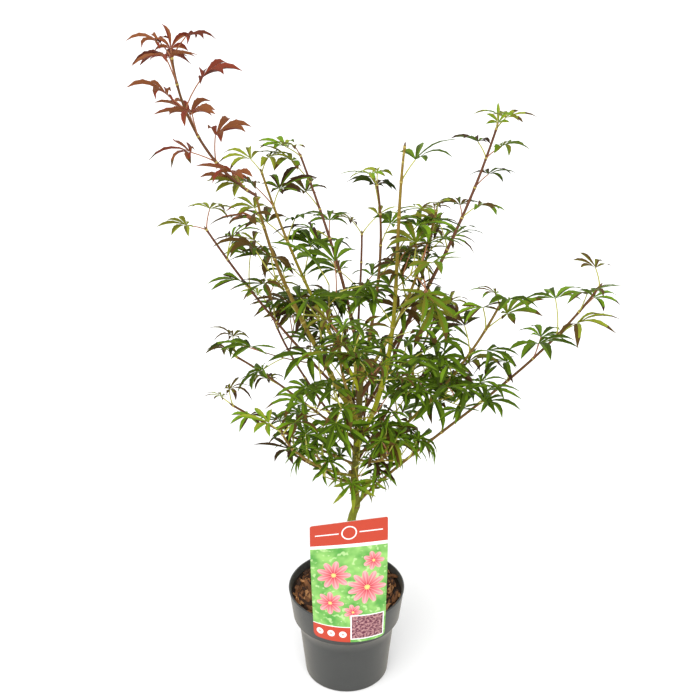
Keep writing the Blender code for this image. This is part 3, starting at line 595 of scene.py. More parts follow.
def pot_plastic(name, colour, roughness, shine=0.5):
    """Matt moulded plastic: faint flow marks, scuffs and a fine moulded grain."""
    # The sheen's warm tint is a painted reflection: it warms the pot's grazing edges as warm studio
    # light would.
    finish = Finish(
        name, IOR=1.46, Specular_IOR_Level=0.8 * shine, Sheen_Weight=0.32 * shine,
        Sheen_Roughness=0.4, Sheen_Tint=(1.0, 0.86, 0.60),
    )
    spot = finish.place()
    clouds = finish.grain(spot, 26.0, 5.0)
    scuffs = finish.grain(finish.place((1.0, 1.0, 6.0)), 120.0, 3.0)
    body = finish.mix(finish.fit(clouds, 0.35, 0.68), toned(colour, 0.88), colour)
    body = finish.mix(finish.fit(scuffs, 0.60, 0.78, 0.0, 0.55), body, toned(colour, 1.20, 0.004))
    rough = finish.fit(clouds, 0.3, 0.7, roughness - 0.05, roughness + 0.07)
    finish.show(Base_Color=body, Roughness=rough)
    finish.bump(finish.grain(spot, 1400.0, 2.0), 0.16, 0.0002)
    return finish.material


def chip_bark(name, colour, dark):
    """Coarse bark: dark fissures between fibrous ridges."""
    finish = Finish(name, Specular_IOR_Level=0.25)
    spot = finish.place((1.0, 1.0, 1.6))
    fibres = finish.grain(spot, 300.0, 5.0, 0.6)
    patches = finish.grain(spot, 45.0, 2.0)
    deeper = tuple(0.5 * (a + b) for a, b in zip(colour, dark))
    body = finish.mix(finish.fit(fibres, 0.30, 0.62), deeper, colour)
    body = finish.mix(finish.fit(patches, 0.50, 0.66), body, toned(colour, 1.5))
    finish.show(Base_Color=body, Roughness=finish.fit(fibres, 0.3, 0.7, 0.62, 0.92))
    finish.bump(fibres, 0.7, 0.0006)
    return finish.material


def limb_bark(name, low, high, streaks):
    """Smooth young bark: long streaks, pale breathing pores, and a colour that turns up the limb."""
    finish = Finish(name, Specular_IOR_Level=0.08)
    share = finish.axis(finish.map("limb"), 1)
    long_lines = finish.grain(finish.map("limb", (7.0, 5.0, 1.0)), 5.0, 5.0, 0.6)
    pores = finish.grain(finish.place(), 420.0, 2.0)
    body = finish.mix(finish.fit(share, 0.10, 0.75), low, high)
    body = finish.mix(finish.fit(long_lines, 0.46, 0.66), body, finish.mix(0.55, body, streaks))
    body = finish.mix(finish.fit(pores, 0.66, 0.74, 0.0, 0.6), body, toned(low, 1.5, 0.03))
    finish.show(Base_Color=body, Roughness=finish.fit(long_lines, 0.3, 0.7, 0.48, 0.70))
    finish.bump(finish.grain(finish.place((1.0, 1.0, 0.35)), 700.0, 4.0, 0.6), 0.35, 0.0004)
    return finish.material


def leaf_skin(name, colour):
    """A blade's skin: a plain tint under raised veins that run out from the middle of each lobe."""
    finish = Finish(name, Base_Color=colour, Roughness=0.50, Specular_IOR_Level=0.05)
    spread = finish.map("blade")
    off_middle = finish.math("ABSOLUTE", finish.math("SUBTRACT", finish.axis(spread, 0), 0.5))
    slant = finish.math("SUBTRACT", finish.axis(spread, 1), finish.math("MULTIPLY", off_middle, 0.25))
    ribs = finish.math("SINE", finish.math("MULTIPLY", slant, 70.0))
    middle = finish.fit(off_middle, 0.0, 0.09, 1.6, 0.0)
    crinkle = finish.grain(finish.place(), 260.0, 3.0)
    height = finish.math("ADD", finish.math("MULTIPLY", ribs, 0.30), middle)
    height = finish.math("ADD", height, finish.math("MULTIPLY", crinkle, 1.6))
    finish.bump(height, 0.32, 0.0006)
    return finish.material


def stalk_skin(name, colour):
    """A leaf stalk's skin: a plain tint, a little waxy."""
    finish = Finish(name, Base_Color=colour, Roughness=0.50, Specular_IOR_Level=0.15)
    finish.bump(finish.grain(finish.place(), 900.0, 2.0), 0.2, 0.0003)
    return finish.material


# --- Pieces -------------------------------------------------------------------------------------


def add_piece(name, mesh, materials, nodes, sharp_angle=40):
    """Links a finished mesh as a piece that stands for its nodes, which are hidden, and takes the given
    finishes.
    """
    for material in materials:
        mesh.materials.append(material)
    mesh.shade_smooth()
    mesh.set_sharp_from_angle(angle=math.radians(sharp_angle))
    piece = bpy.data.objects.new(name, mesh)
    bpy.context.scene.collection.objects.link(piece)
    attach(piece, "root")
    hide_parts(*nodes)
    return piece


def mesh_of(name, bm, recalculate=True):
    if recalculate:
        bmesh.ops.recalc_face_normals(bm, faces=bm.faces)
    mesh = bpy.data.meshes.new(name)
    bm.to_mesh(mesh)
    bm.free()
    return mesh


def direction(lean, turn):
    lean, turn = math.radians(lean), math.radians(turn)
    return Vector((math.sin(lean) * math.cos(turn), math.sin(lean) * math.sin(turn), math.cos(lean)))


def turned(profile, steps):
    """A mesh turned about Z from a profile of (radius, height) that starts and ends on the axis."""
    bm = bmesh.new()
    verts = [bm.verts.new((radius, 0.0, height)) for radius, height in profile]
    edges = [bm.edges.new(pair) for pair in zip(verts, verts[1:])]
    bmesh.ops.spin(
        bm, geom=verts + edges, cent=(0, 0, 0), axis=(0, 0, 1), angle=math.tau, steps=steps,
        use_merge=True,
    )
    bmesh.ops.remove_doubles(bm, verts=bm.verts, dist=1e-5)
    bmesh.ops.recalc_face_normals(bm, faces=bm.faces)
    return bm


def arc(centre, radius, start, end, steps):
    """Points of a profile's rounded corner, by angles in degrees."""
    points = []
    for i in range(steps + 1):
        angle = math.radians(start + (end - start) * i / steps)
        points.append((centre[0] + radius * math.cos(angle), centre[1] + radius * math.sin(angle)))
    return points


def inner_wall(wall):
    """The inside of the pot's wall, from just under the rim down to the floor."""
    return [
        (RIM_RADIUS - wall - RIM_INNER, POT_HEIGHT - RIM_INNER_DEPTH),
        (COLLAR_FOOT_RADIUS - wall, COLLAR_FOOT_HEIGHT + INNER_STEP),
        (BODY_TOP_RADIUS - wall, BODY_TOP_HEIGHT + INNER_STEP),
        (BASE_RADIUS - wall - INNER_STEP, wall),
    ]


def mix_radius(height, wall):
    """The pot's inner radius at a height within the collar."""
    top, foot = inner_wall(wall)[:2]
    share = (height - foot[1]) / (top[1] - foot[1])
    return foot[0] + (top[0] - foot[0]) * share


def pot_outline(wall):
    """The pot's whole profile, from the middle of its underside out, up, over the lip and back in."""
    edge = BASE_EDGE
    collar = RIM_RADIUS - LIP_STEP
    lip_foot = POT_HEIGHT - LIP_DEPTH
    lip_round = 0.0010
    bead_round = 0.0009
    foot_round = 0.0016
    shelf = 0.0020
    bend_from = 0.9  # the share of the body's height where the shoulder starts
    bends = 9
    body = Vector((
        BASE_RADIUS + (BODY_TOP_RADIUS - BASE_RADIUS) * bend_from, BODY_TOP_HEIGHT * bend_from
    ))
    corner = Vector((BODY_TOP_RADIUS + 0.0003, BODY_TOP_HEIGHT + 0.002))
    under = Vector((COLLAR_FOOT_RADIUS - shelf, COLLAR_FOOT_HEIGHT - 0.0022))
    shoulder = []
    for i in range(bends + 1):
        share = i / bends
        shoulder.append(tuple(body.lerp(corner, share).lerp(corner.lerp(under, share), share)))
    return [
        (0.0, 0.0),
        (DRAIN_CIRCLE + 0.008, 0.0),
        (BASE_RADIUS - edge, 0.0),
        *arc((BASE_RADIUS - edge, edge), edge, -90, 0, 5)[1:],
        (BASE_RADIUS + 0.0002, edge + 0.002),
        *shoulder,
        *arc((COLLAR_FOOT_RADIUS - foot_round, COLLAR_FOOT_HEIGHT), foot_round, -60, 4, 4),
        (COLLAR_FOOT_RADIUS + 0.0004, COLLAR_FOOT_HEIGHT + 0.004),
        (collar - 0.0005, lip_foot - 0.008),
        (collar - 0.0003, lip_foot - 0.0010),
        *arc((RIM_RADIUS - bead_round, lip_foot + 0.0006), bead_round, -60, 0, 3),
        *arc((RIM_RADIUS - lip_round, POT_HEIGHT - lip_round), lip_round, 0, 90, 4),
        *arc((RIM_RADIUS - wall - 0.0002, POT_HEIGHT - lip_round), lip_round, 90, 175, 4),
        *inner_wall(wall),
        (0.0, wall),
    ]


class MAPLE_OT_pot(bpy.types.Operator):
    """Makes the round pot with its collar, beaded rim and drain holes, its inside painted near black as
    shade.
    """

    bl_idname = "maple.pot"
    bl_label = "Pot"

    def execute(self, context):
        settings = context.scene.maple.pot
        bm = turned(pot_outline(settings.wall), settings.steps)
        # Faces that look inward, the inner floor and the inner part of the rim's top take the second
        # finish, a near-black painted shade.
        for face in bm.faces:
            middle = face.calc_center_median()
            outward = face.normal.dot(Vector((middle.x, middle.y, 0.0)).normalized())
            is_floor = face.normal.z > UPWARD and middle.z < BASE_EDGE
            on_top = middle.z > POT_HEIGHT - INSIDE_SHADE_DEPTH and outward < OUTWARD
            face.material_index = int(outward < INWARD or is_floor or on_top)
        shell = bpy.data.objects.new("pot_shell", mesh_of("pot_shell", bm, recalculate=False))
        drill = bmesh.new()
        for i in range(DRAIN_HOLES):
            around = Matrix.Rotation(math.tau * i / DRAIN_HOLES, 4, "Z")
            place = around @ Matrix.Translation((DRAIN_CIRCLE, 0.0, 0.0))
            bmesh.ops.create_cone(
                drill, cap_ends=True, segments=24, radius1=DRAIN_RADIUS, radius2=DRAIN_RADIUS,
                depth=4 * settings.wall, matrix=place,
            )
        cutter = bpy.data.objects.new("drain_drill", mesh_of("drain_drill", drill))
        for helper in (shell, cutter):
            context.scene.collection.objects.link(helper)
        cut = shell.modifiers.new("drain", "BOOLEAN")
        cut.operation = "DIFFERENCE"
        cut.object = cutter
        graph = context.evaluated_depsgraph_get()
        mesh = bpy.data.meshes.new_from_object(shell.evaluated_get(graph))
        for helper in (shell, cutter):
            bpy.data.objects.remove(helper, do_unlink=True)
        mesh.materials.clear()
        finishes = [
            pot_plastic("pot_grey", settings.plastic, 0.40),
            # Near black and with little shine: the painted shade of the pot's inside.
            pot_plastic("pot_lining", settings.lining, 0.70, 0.12),
        ]
        add_piece("nursery_pot", mesh, finishes, ["pot"], sharp_angle=32)
        return {"FINISHED"}


def mix_bed(wall):
    """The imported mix: a plug that fills the pot, with a lumpy top."""
    _, collar, body, foot = inner_wall(wall)
    clear = GAP + HAIR
    edge = mix_radius(SOIL_LEVEL, wall) - clear
    rings = 14
    steps = 72
    surface = [(edge * (rings - i) / rings, SOIL_LEVEL) for i in range(1, rings)]
    bm = turned(
        [
            (0.0, wall + GAP),
            (foot[0] - clear, wall + GAP),
            (body[0] - clear, body[1]),
            (collar[0] - clear, collar[1]),
            (edge, SOIL_LEVEL),
            *surface,
            (0.0, SOIL_LEVEL),
        ],
        steps,
    )
    for vert in bm.verts:
        spread = math.hypot(vert.co.x, vert.co.y)
        if vert.co.z > SOIL_LEVEL - 0.001 and spread < edge - 0.001:
            lump = noise.noise(vert.co * 90.0) + 0.5 * noise.noise(vert.co * 260.0)
            vert.co.z += LUMP_HEIGHT * lump - LUMP_DEPTH
    return bm


def chip_shape(rng):
    """One splinter of bark along X, unit size: a block pinched towards its ends and pulled out of true.
    """
    bm = bmesh.new()
    bmesh.ops.create_cube(bm, size=1.0)
    long_edges = [e for e in bm.edges if abs(e.verts[0].co.x - e.verts[1].co.x) > 0.5]
    bmesh.ops.subdivide_edges(bm, edges=long_edges, cuts=2, use_grid_fill=True)
    for vert in bm.verts:
        pinch = 1.0 - 0.55 * abs(vert.co.x * 2) ** 2 * rng.uniform(0.4, 1.3)
        vert.co.y *= pinch * rng.uniform(0.8, 1.15)
        vert.co.z *= pinch * rng.uniform(0.7, 1.2)
        vert.co.z += 0.25 * (0.25 - vert.co.x**2)
        vert.co.x *= rng.uniform(0.85, 1.05)
    return bm


class MAPLE_OT_potting_mix(bpy.types.Operator):
    """Makes the potting mix and the loose bark chips heaped on it."""

    bl_idname = "maple.potting_mix"
    bl_label = "Potting mix"

    def execute(self, context):
        maple = context.scene.maple
        settings, wall = maple.mix, maple.pot.wall
        earth = chip_bark("mix_earth", settings.earth, (0.006, 0.004, 0.003))
        add_piece(
            "packed_mix", mesh_of("packed_mix", mix_bed(wall)), [earth], ["potting_mix"]
        )
        rng = random.Random(maple.leaf.seed)
        shapes = []
        for _ in range(CHIP_SHAPES):
            bm = chip_shape(rng)
            bmesh.ops.recalc_face_normals(bm, faces=bm.faces)
            shapes.append(Shape.from_bmesh(bm))
        heap = Batch()
        radius = mix_radius(SOIL_LEVEL, wall)
        for _ in range(settings.chips * CHIP_TRIES):
            if len(heap.points) == settings.chips:
                break
            length = settings.chip_length * rng.uniform(0.4, 1.35)
            size = Vector((1.0, rng.uniform(0.24, 0.42), rng.uniform(0.10, 0.22))) * length
            turn = rng.uniform(0, math.tau)
            away = math.sqrt(rng.uniform(0.01, 1.0)) * radius
            rise = rng.uniform(-0.001, 0.0050)
            centre = Vector((away * math.cos(turn), away * math.sin(turn), SOIL_LEVEL + rise))
            facing = rng.uniform(0, math.tau)
            if away > CHIP_ALONG * radius:
                facing = turn + math.pi / 2 + rng.uniform(-0.4, 0.4)
            tilt = Euler((rng.uniform(-0.8, 0.8), rng.uniform(-0.42, 0.42), facing))
            matrix = Matrix.LocRotScale(centre, tilt, size)
            shape = rng.choice(shapes)
            if chip_fits(shape.placed(matrix), wall):
                heap.add(shape, matrix, [rng.choices((0, 1, 2), (6, 2, 3))[0]])
        finishes = [
            chip_bark("bark_chip", settings.bark, settings.dark_bark),
            chip_bark("split_chip", settings.pale_bark, settings.bark),
            chip_bark("wet_chip", settings.dark_bark, settings.earth),
        ]
        add_piece(
            "bark_chips", heap.mesh("bark_chips"), finishes, ["potting_mix"],
            sharp_angle=50,
        )
        return {"FINISHED"}


def chip_fits(points, wall):
    """True where a chip stays inside the wall, under the rim and clear of trunk and label."""
    spread = np.hypot(points[:, 0], points[:, 1])
    room = mix_radius(SOIL_LEVEL, wall) - CHIP_ROOM + (points[:, 2] - SOIL_LEVEL) * 0.10
    beside = np.abs(points[:, 0] - LABEL_CENTRE_X) < TONGUE_WIDTH / 2 + 0.001
    in_front = points[:, 1] < -(RIM_RADIUS - 0.0105)
    at_hook = beside & in_front & (points[:, 2] > TONGUE_FOOT - 0.001)
    is_clear = spread.min() > 0.011 and points[:, 2].max() < POT_HEIGHT - 0.003
    return bool(is_clear and (spread < room).all() and not at_hook.any())


def label_point(across, up):
    """A point on the card's back: bent round the collar at its foot, and turned flat at its top."""
    x = across * LABEL_WIDTH / 2
    angle = x / LABEL_RADIUS
    yaw = math.radians(LABEL_YAW) * max(0.0, (up - LABEL_YAW_FROM) / (1 - LABEL_YAW_FROM))
    flat = Vector((x * math.cos(yaw), x * math.sin(yaw) - LABEL_RADIUS, 0.0))
    bent = Vector((math.sin(angle), -math.cos(angle), 0.0)) * LABEL_RADIUS
    point = flat.lerp(bent, (1 - up) ** LABEL_UNBEND)
    height = LABEL_FOOT + (LABEL_TOP - LABEL_FOOT) * up
    return Vector((point.x + LABEL_CENTRE_X, point.y, height))


def draw_out(bm, faces, move):
    """Gives flat faces their thickness: a copy is drawn out by the move, with walls between."""
    drawn = bmesh.ops.extrude_face_region(bm, geom=faces, use_keep_orig=True)["geom"]
    moved = [g for g in drawn if isinstance(g, bmesh.types.BMVert)]
    bmesh.ops.translate(bm, vec=move, verts=moved)
    bmesh.ops.recalc_face_normals(bm, faces=bm.faces)


def label_card():
    """The card, cut flat with rounded corners, sliced so that it can bend, then bent and thickened."""
    height = LABEL_TOP - LABEL_FOOT
    bm = bmesh.new()
    bmesh.ops.create_grid(bm, x_segments=1, y_segments=1, size=0.5)
    bmesh.ops.scale(bm, vec=(LABEL_WIDTH, height, 1.0), verts=bm.verts)
    foot = [v for v in bm.verts if v.co.y < 0]
    top = [v for v in bm.verts if v.co.y > 0]
    for corners, radius in ((foot, LABEL_FOOT_ROUND), (top, LABEL_TOP_ROUND)):
        bmesh.ops.bevel(
            bm, geom=corners, affect="VERTICES", offset=radius, segments=5, profile=0.5, material=-1
        )
    for along, size, cuts in (((1, 0, 0), LABEL_WIDTH, 24), ((0, 1, 0), height, 16)):
        for i in range(1, cuts):
            geometry = bm.verts[:] + bm.edges[:] + bm.faces[:]
            cut = Vector(along) * (size * (i / cuts - 0.5))
            bmesh.ops.bisect_plane(bm, geom=geometry, plane_co=cut, plane_no=along)
    card = bm.loops.layers.uv.new("card")
    for face in bm.faces:
        for loop in face.loops:
            spot = loop.vert.co
            loop[card].uv = (spot.x / LABEL_WIDTH + 0.5, spot.y / height + 0.5)
    for vert in bm.verts:
        vert.co = label_point(2 * vert.co.x / LABEL_WIDTH, vert.co.y / height + 0.5)
    draw_out(bm, bm.faces[:], (0, -LABEL_THICKNESS, 0))
    for face in bm.faces:
        face.material_index = int(face.normal.y > -0.2)
    return bm


def label_tongue():
    """The hook behind the card: one strip bent over the rim and down inside it."""
    over_rim = POT_HEIGHT + GAP + HAIR
    card_y = -(LABEL_RADIUS + LABEL_THICKNESS / 3)
    hook_y = -(RIM_RADIUS - TONGUE_INSET)
    thick = TONGUE_THICKNESS
    route = [
        (card_y, over_rim),
        (card_y, over_rim + thick),
        (hook_y, over_rim + thick),
        (hook_y, TONGUE_FOOT),
        (hook_y + thick, TONGUE_FOOT),
        (hook_y + thick, over_rim),
    ]
    bm = bmesh.new()
    left = LABEL_CENTRE_X - TONGUE_WIDTH / 2
    verts = [bm.verts.new((left, y, z)) for y, z in route]
    side = bm.faces.new(verts)
    draw_out(bm, [side], (TONGUE_WIDTH, 0, 0))
    return bm


def printed_card(settings):
    """The card's face: coral bands, pale rules and discs, and pink rosettes on a soft green field."""
    width, height = LABEL_WIDTH * 1000, (LABEL_TOP - LABEL_FOOT) * 1000
    finish = Finish("label_print", Roughness=0.42, Specular_IOR_Level=0.25)
    spot = finish.map("card", (width, height, 1.0))
    x, y = finish.axis(spot, 0), finish.axis(spot, 1)

    def above(value, limit):
        return finish.math("GREATER_THAN", value, limit)

    def under(value, limit):
        return finish.math("LESS_THAN", value, limit)

    def both(first, second):
        return finish.math("MULTIPLY", first, second)

    def either(first, second):
        return finish.math("MAXIMUM", first, second)

    def box(left, low, right, high):
        inside = both(above(x, left), above(y, low))
        return both(both(inside, under(x, right)), under(y, high))

    def away(centre_x, centre_y):
        across = finish.math("POWER", finish.math("SUBTRACT", x, centre_x), 2.0)
        up = finish.math("POWER", finish.math("SUBTRACT", y, centre_y), 2.0)
        return finish.math("SQRT", finish.math("ADD", across, up))

    def rosette(face, centre_x, centre_y, radius, petals):
        rise = finish.math("SUBTRACT", y, centre_y)
        angle = finish.math("ARCTAN2", rise, finish.math("SUBTRACT", x, centre_x))
        wave = finish.math("ABSOLUTE", finish.math("COSINE", both(angle, petals / 2)))
        reach = finish.math("ADD", both(wave, PETAL_DEPTH), 1 - PETAL_DEPTH)
        share = finish.math("DIVIDE", away(centre_x, centre_y), both(reach, radius))
        petal = finish.mix(finish.fit(share, 0.25, 0.95), settings.petal, settings.petal_light)
        petal = finish.mix(finish.fit(wave, 0.86, 1.0, 0.0, 0.45), petal, PETAL_VEIN)
        face = finish.mix(under(share, 1.0), face, petal)
        return finish.mix(under(share, ROSETTE_EYE), face, POLLEN)

    clouds = finish.fit(finish.grain(spot, 0.035, 2.0), 0.36, 0.64)
    face = finish.mix(clouds, settings.field, settings.field_light)
    dapple = finish.fit(finish.grain(spot, 0.11, 1.0), 0.58, 0.66, 0.0, 0.7)
    face = finish.mix(dapple, face, DAPPLE)
    for place in ROSETTES:
        face = rosette(face, *place)
    weave = finish.mix(finish.fit(finish.grain(spot, 0.26, 3.0), 0.42, 0.60), *INSET_COLOURS)
    left, low, right, high = INSET
    face = finish.mix(box(left, low, right, high), face, PRINT_WHITE)
    inner = box(left + INSET_EDGE, low + INSET_EDGE, right - INSET_EDGE, high - INSET_EDGE)
    face = finish.mix(inner, face, weave)
    band_right, band_top = FOOT_BAND
    bands = either(above(y, height - HEADER), box(0, 0, band_right, band_top))
    face = finish.mix(bands, face, settings.coral)
    header_rule = box(0, height - HEADER - HEADER_RULE, width, height - HEADER)
    foot_rule = box(0, band_top, band_right, band_top + FOOT_RULE)
    face = finish.mix(either(header_rule, foot_rule), face, PRINT_WHITE)
    for centre_x in DISCS:
        reach = away(centre_x, DISC_HEIGHT)
        face = finish.mix(under(reach, DISC_RADIUS), face, PRINT_WHITE)
        face = finish.mix(under(reach, DISC_DOT), face, DOT_COLOUR)
    middle = height - HEADER / 2
    reach = away(width / 2, middle)
    ring = both(under(reach, RING_RADII[1]), above(reach, RING_RADII[0]))
    for left, right in (STROKE, (width - STROKE[1], width - STROKE[0])):
        ring = either(ring, box(left, middle - STROKE_HALF, right, middle + STROKE_HALF))
    finish.show(Base_Color=finish.mix(ring, face, PRINT_WHITE))
    finish.bump(finish.grain(finish.place(), 500.0, 2.0), 0.05, 0.0002)
    return finish.material


def card_stock(name, colour):
    """Plain coated card: nearly white, with a trace of fibre."""
    finish = Finish(name, Roughness=0.45)
    fibres = finish.grain(finish.place((1.0, 1.0, 3.0)), 300.0, 4.0)
    finish.show(Base_Color=finish.mix(fibres, toned(colour, 0.93), colour))
    finish.bump(fibres, 0.05, 0.0002)
    return finish.material


class MAPLE_OT_plant_label(bpy.types.Operator):
    """Makes the printed card label and the tongue that hooks it over the rim."""

    bl_idname = "maple.plant_label"
    bl_label = "Plant label"

    def execute(self, context):
        settings = context.scene.maple.label
        stock = card_stock("label_stock", (0.84, 0.83, 0.80))
        card = mesh_of("label_card", label_card(), recalculate=False)
        add_piece("label_card", card, [printed_card(settings), stock], ["plant_label"])
        tongue = mesh_of("label_tongue", label_tongue(), recalculate=False)
        add_piece("label_tongue", tongue, [stock], ["plant_label"], sharp_angle=30)
        return {"FINISHED"}


# --- Trunk, boughs and stems --------------------------------------------------------------------


class Route:
    """The middle line of a limb, read by the distance along it."""

    def __init__(self, points):
        self.points = points
        self.lengths = [0.0]
        for a, b in zip(points, points[1:]):
            self.lengths.append(self.lengths[-1] + (b - a).length)
        self.length = self.lengths[-1]

    def at(self, distance):
        i = min(max(bisect_left(self.lengths, distance), 1), len(self.points) - 1)
        way = (self.points[i] - self.points[i - 1]).normalized()
        return self.points[i - 1] + way * (distance - self.lengths[i - 1]), way


def smooth_route(start, start_way, end, end_way, step):
    """One smooth curve that leaves start and reaches end along the given directions."""
    span = (end - start).length
    steps = max(3, round(span / step))
    points = []
    for i in range(steps + 1):
        t = i / steps
        near = (2 * t**3 - 3 * t**2 + 1) * start + (t**3 - 2 * t**2 + t) * span * start_way
        far = (3 * t**2 - 2 * t**3) * end + (t**3 - t**2) * span * end_way
        points.append(near + far)
    return Route(points)


def trunk_axis(height):
    """The middle of the trunk at this height: a slight lean with one kink in it."""
    kink = TRUNK_KINK * math.exp(-(((height - TRUNK_KINK_HEIGHT) / TRUNK_KINK_SPAN) ** 2))
    return Vector((TRUNK_LEAN * (height - SOIL_LEVEL) + kink, 0.0, height))


def trunk_radius(height):
    above = height - SOIL_LEVEL
    share = above / (FORK_HEIGHT - SOIL_LEVEL)
    taper = TRUNK_FOOT_RADIUS + (TRUNK_FORK_RADIUS - TRUNK_FOOT_RADIUS) * share
    return taper + FLARE * math.exp(-above / FLARE_HEIGHT)


def shoot_route(shoot, step=ROUTE_STEP):
    """A shoot's middle line, from the trunk or, for the leader's young end, from the leader's tip."""
    if shoot is RED_TIP:
        start = Vector(next(other.tip for other in SHOOTS if other.name == "left_leader"))
    else:
        start = trunk_axis(shoot.height)
    way = direction(shoot.lean, shoot.turn)
    end_way = direction(shoot.tip_lean, shoot.tip_turn)
    return smooth_route(start, way, Vector(shoot.tip), end_way, step)


def node_distances(shoot, route, node_step):
    """Where a shoot's leaf pairs stand, from just past its bare foot to its tip."""
    bare = shoot.bare
    if shoot in TUFTS:
        node_step *= TUFT_STEP
    if shoot is RED_TIP:
        node_step = RED_NODE_STEP
    stem = route.length * (1 - bare)
    count = max(1, round((stem - FIRST_NODE) / node_step))
    reach = stem - FIRST_NODE - LAST_NODE
    shares = [(i / count) ** NODE_CROWDING for i in range(count + 1)]
    return [route.length * bare + FIRST_NODE + reach * share for share in shares]


def ring_places(length, nodes, step):
    """Distances of a limb's rings: even steps, closer at every node."""
    count = max(2, round(length / step))
    places = [length * i / count for i in range(count + 1)]
    for node in nodes:
        places = [p for p in places if abs(p - node) > RING_CLEAR or p in (0.0, length)]
        places += [node + off for off in NODE_RINGS if 0.001 < node + off < length - 0.001]
    return sorted(places)


def swelling(distance, nodes, height, reach):
    """How much a limb is thickened by the nearest of its nodes, as a factor of its radius."""
    near = min(abs(distance - node) for node in nodes)
    return 1 + height * math.exp(-((near / reach) ** 2))


def ripple(corner, place, ridges, grain):
    """Noise over a limb's bark, at a corner of its ring and a place along it."""
    around, along = ridges
    return noise.noise(Vector((corner.x * around, corner.y * around, place * along + grain)))


def draw_limb(route, radius_at, nodes, sides, wood, grain):
    """A closed limb drawn out ring by ring. Its map holds the turn and the share of the length."""
    bm = bmesh.new()
    turn_layer = bm.verts.layers.float.new("turn")
    share_layer = bm.verts.layers.float.new("share")
    bmesh.ops.create_circle(bm, cap_ends=True, segments=sides, radius=1.0)
    local = [v.co.copy() for v in bm.verts]
    face = bm.faces[:][0]
    before = UP
    twist = Quaternion()
    for i, place in enumerate(ring_places(route.length, nodes, wood.ring_step)):
        centre, way = route.at(place)
        twist = before.rotation_difference(way) @ twist
        before = way
        if i:
            drawn = bmesh.ops.extrude_face_region(bm, geom=[face])["geom"]
            if i > 1:
                bmesh.ops.delete(bm, geom=[face], context="FACES_ONLY")
            face = next(g for g in drawn if isinstance(g, bmesh.types.BMFace))
        for k, (vert, corner) in enumerate(zip(face.verts, local)):
            ridge = ripple(corner, place, RIDGES, grain)
            fine = ripple(corner, place, FINE_RIDGES, -grain)
            radius = radius_at(place) * (1 + wood.relief * (ridge + FINE_SHARE * fine))
            vert.co = centre + twist @ (corner * radius)
            vert[turn_layer] = k / sides
            vert[share_layer] = place / route.length
    bmesh.ops.recalc_face_normals(bm, faces=bm.faces)
    limb = bm.loops.layers.uv.new("limb")
    for face in bm.faces:
        turns = [loop.vert[turn_layer] for loop in face.loops]
        wraps = max(turns) - min(turns) > 0.5
        for loop in face.loops:
            turn = loop.vert[turn_layer]
            loop[limb].uv = (turn + 1.0 if wraps and turn < 0.5 else turn, loop.vert[share_layer])
        place = sum(loop.vert[share_layer] for loop in face.loops) / len(face.loops) * route.length
        near = min((abs(place - node) for node in nodes), default=1.0)
        face.material_index = int(near < NODE_BAND)
    return bm


def bud(bm, point, way, size, slot):
    """A pointed bud that stands out from its stem."""
    length, width = size
    turn = UP.rotation_difference(way)
    matrix = Matrix.LocRotScale(point + way * length * 0.5, turn, Vector((width, width, length)) / 2)
    made = bmesh.ops.create_uvsphere(bm, u_segments=8, v_segments=6, radius=1.0, matrix=matrix)
    for vert in made["verts"]:
        rise = (vert.co - point).dot(way) / length
        centre = point + way * rise * length
        vert.co = centre + (vert.co - centre) * (1.15 - 0.55 * rise)
    for face in {f for v in made["verts"] for f in v.link_faces}:
        face.material_index = slot


def bud_pair(bm, point, way, turn, lean, size, slot):
    """Two buds on opposite sides of a stem."""
    for side in (-1, 1):
        out = (way + direction(90, turn + 90 * side) * lean).normalized()
        bud(bm, point, out, size, slot)


def bark_finishes(wood):
    """Each family of bark by name, as its low and high colour."""
    dark = (0.050, 0.032, 0.018)
    return {
        "lime": limb_bark("lime_bark", wood.lime, wood.brown, wood.olive),
        "olive": limb_bark("olive_bark", wood.olive, wood.brown, dark),
        "brown": limb_bark("brown_bark", wood.brown, wood.russet, dark),
        "russet": limb_bark("russet_bark", wood.russet, wood.wine, dark),
        "wine": limb_bark("wine_bark", wood.wine, wood.russet, dark),
    }


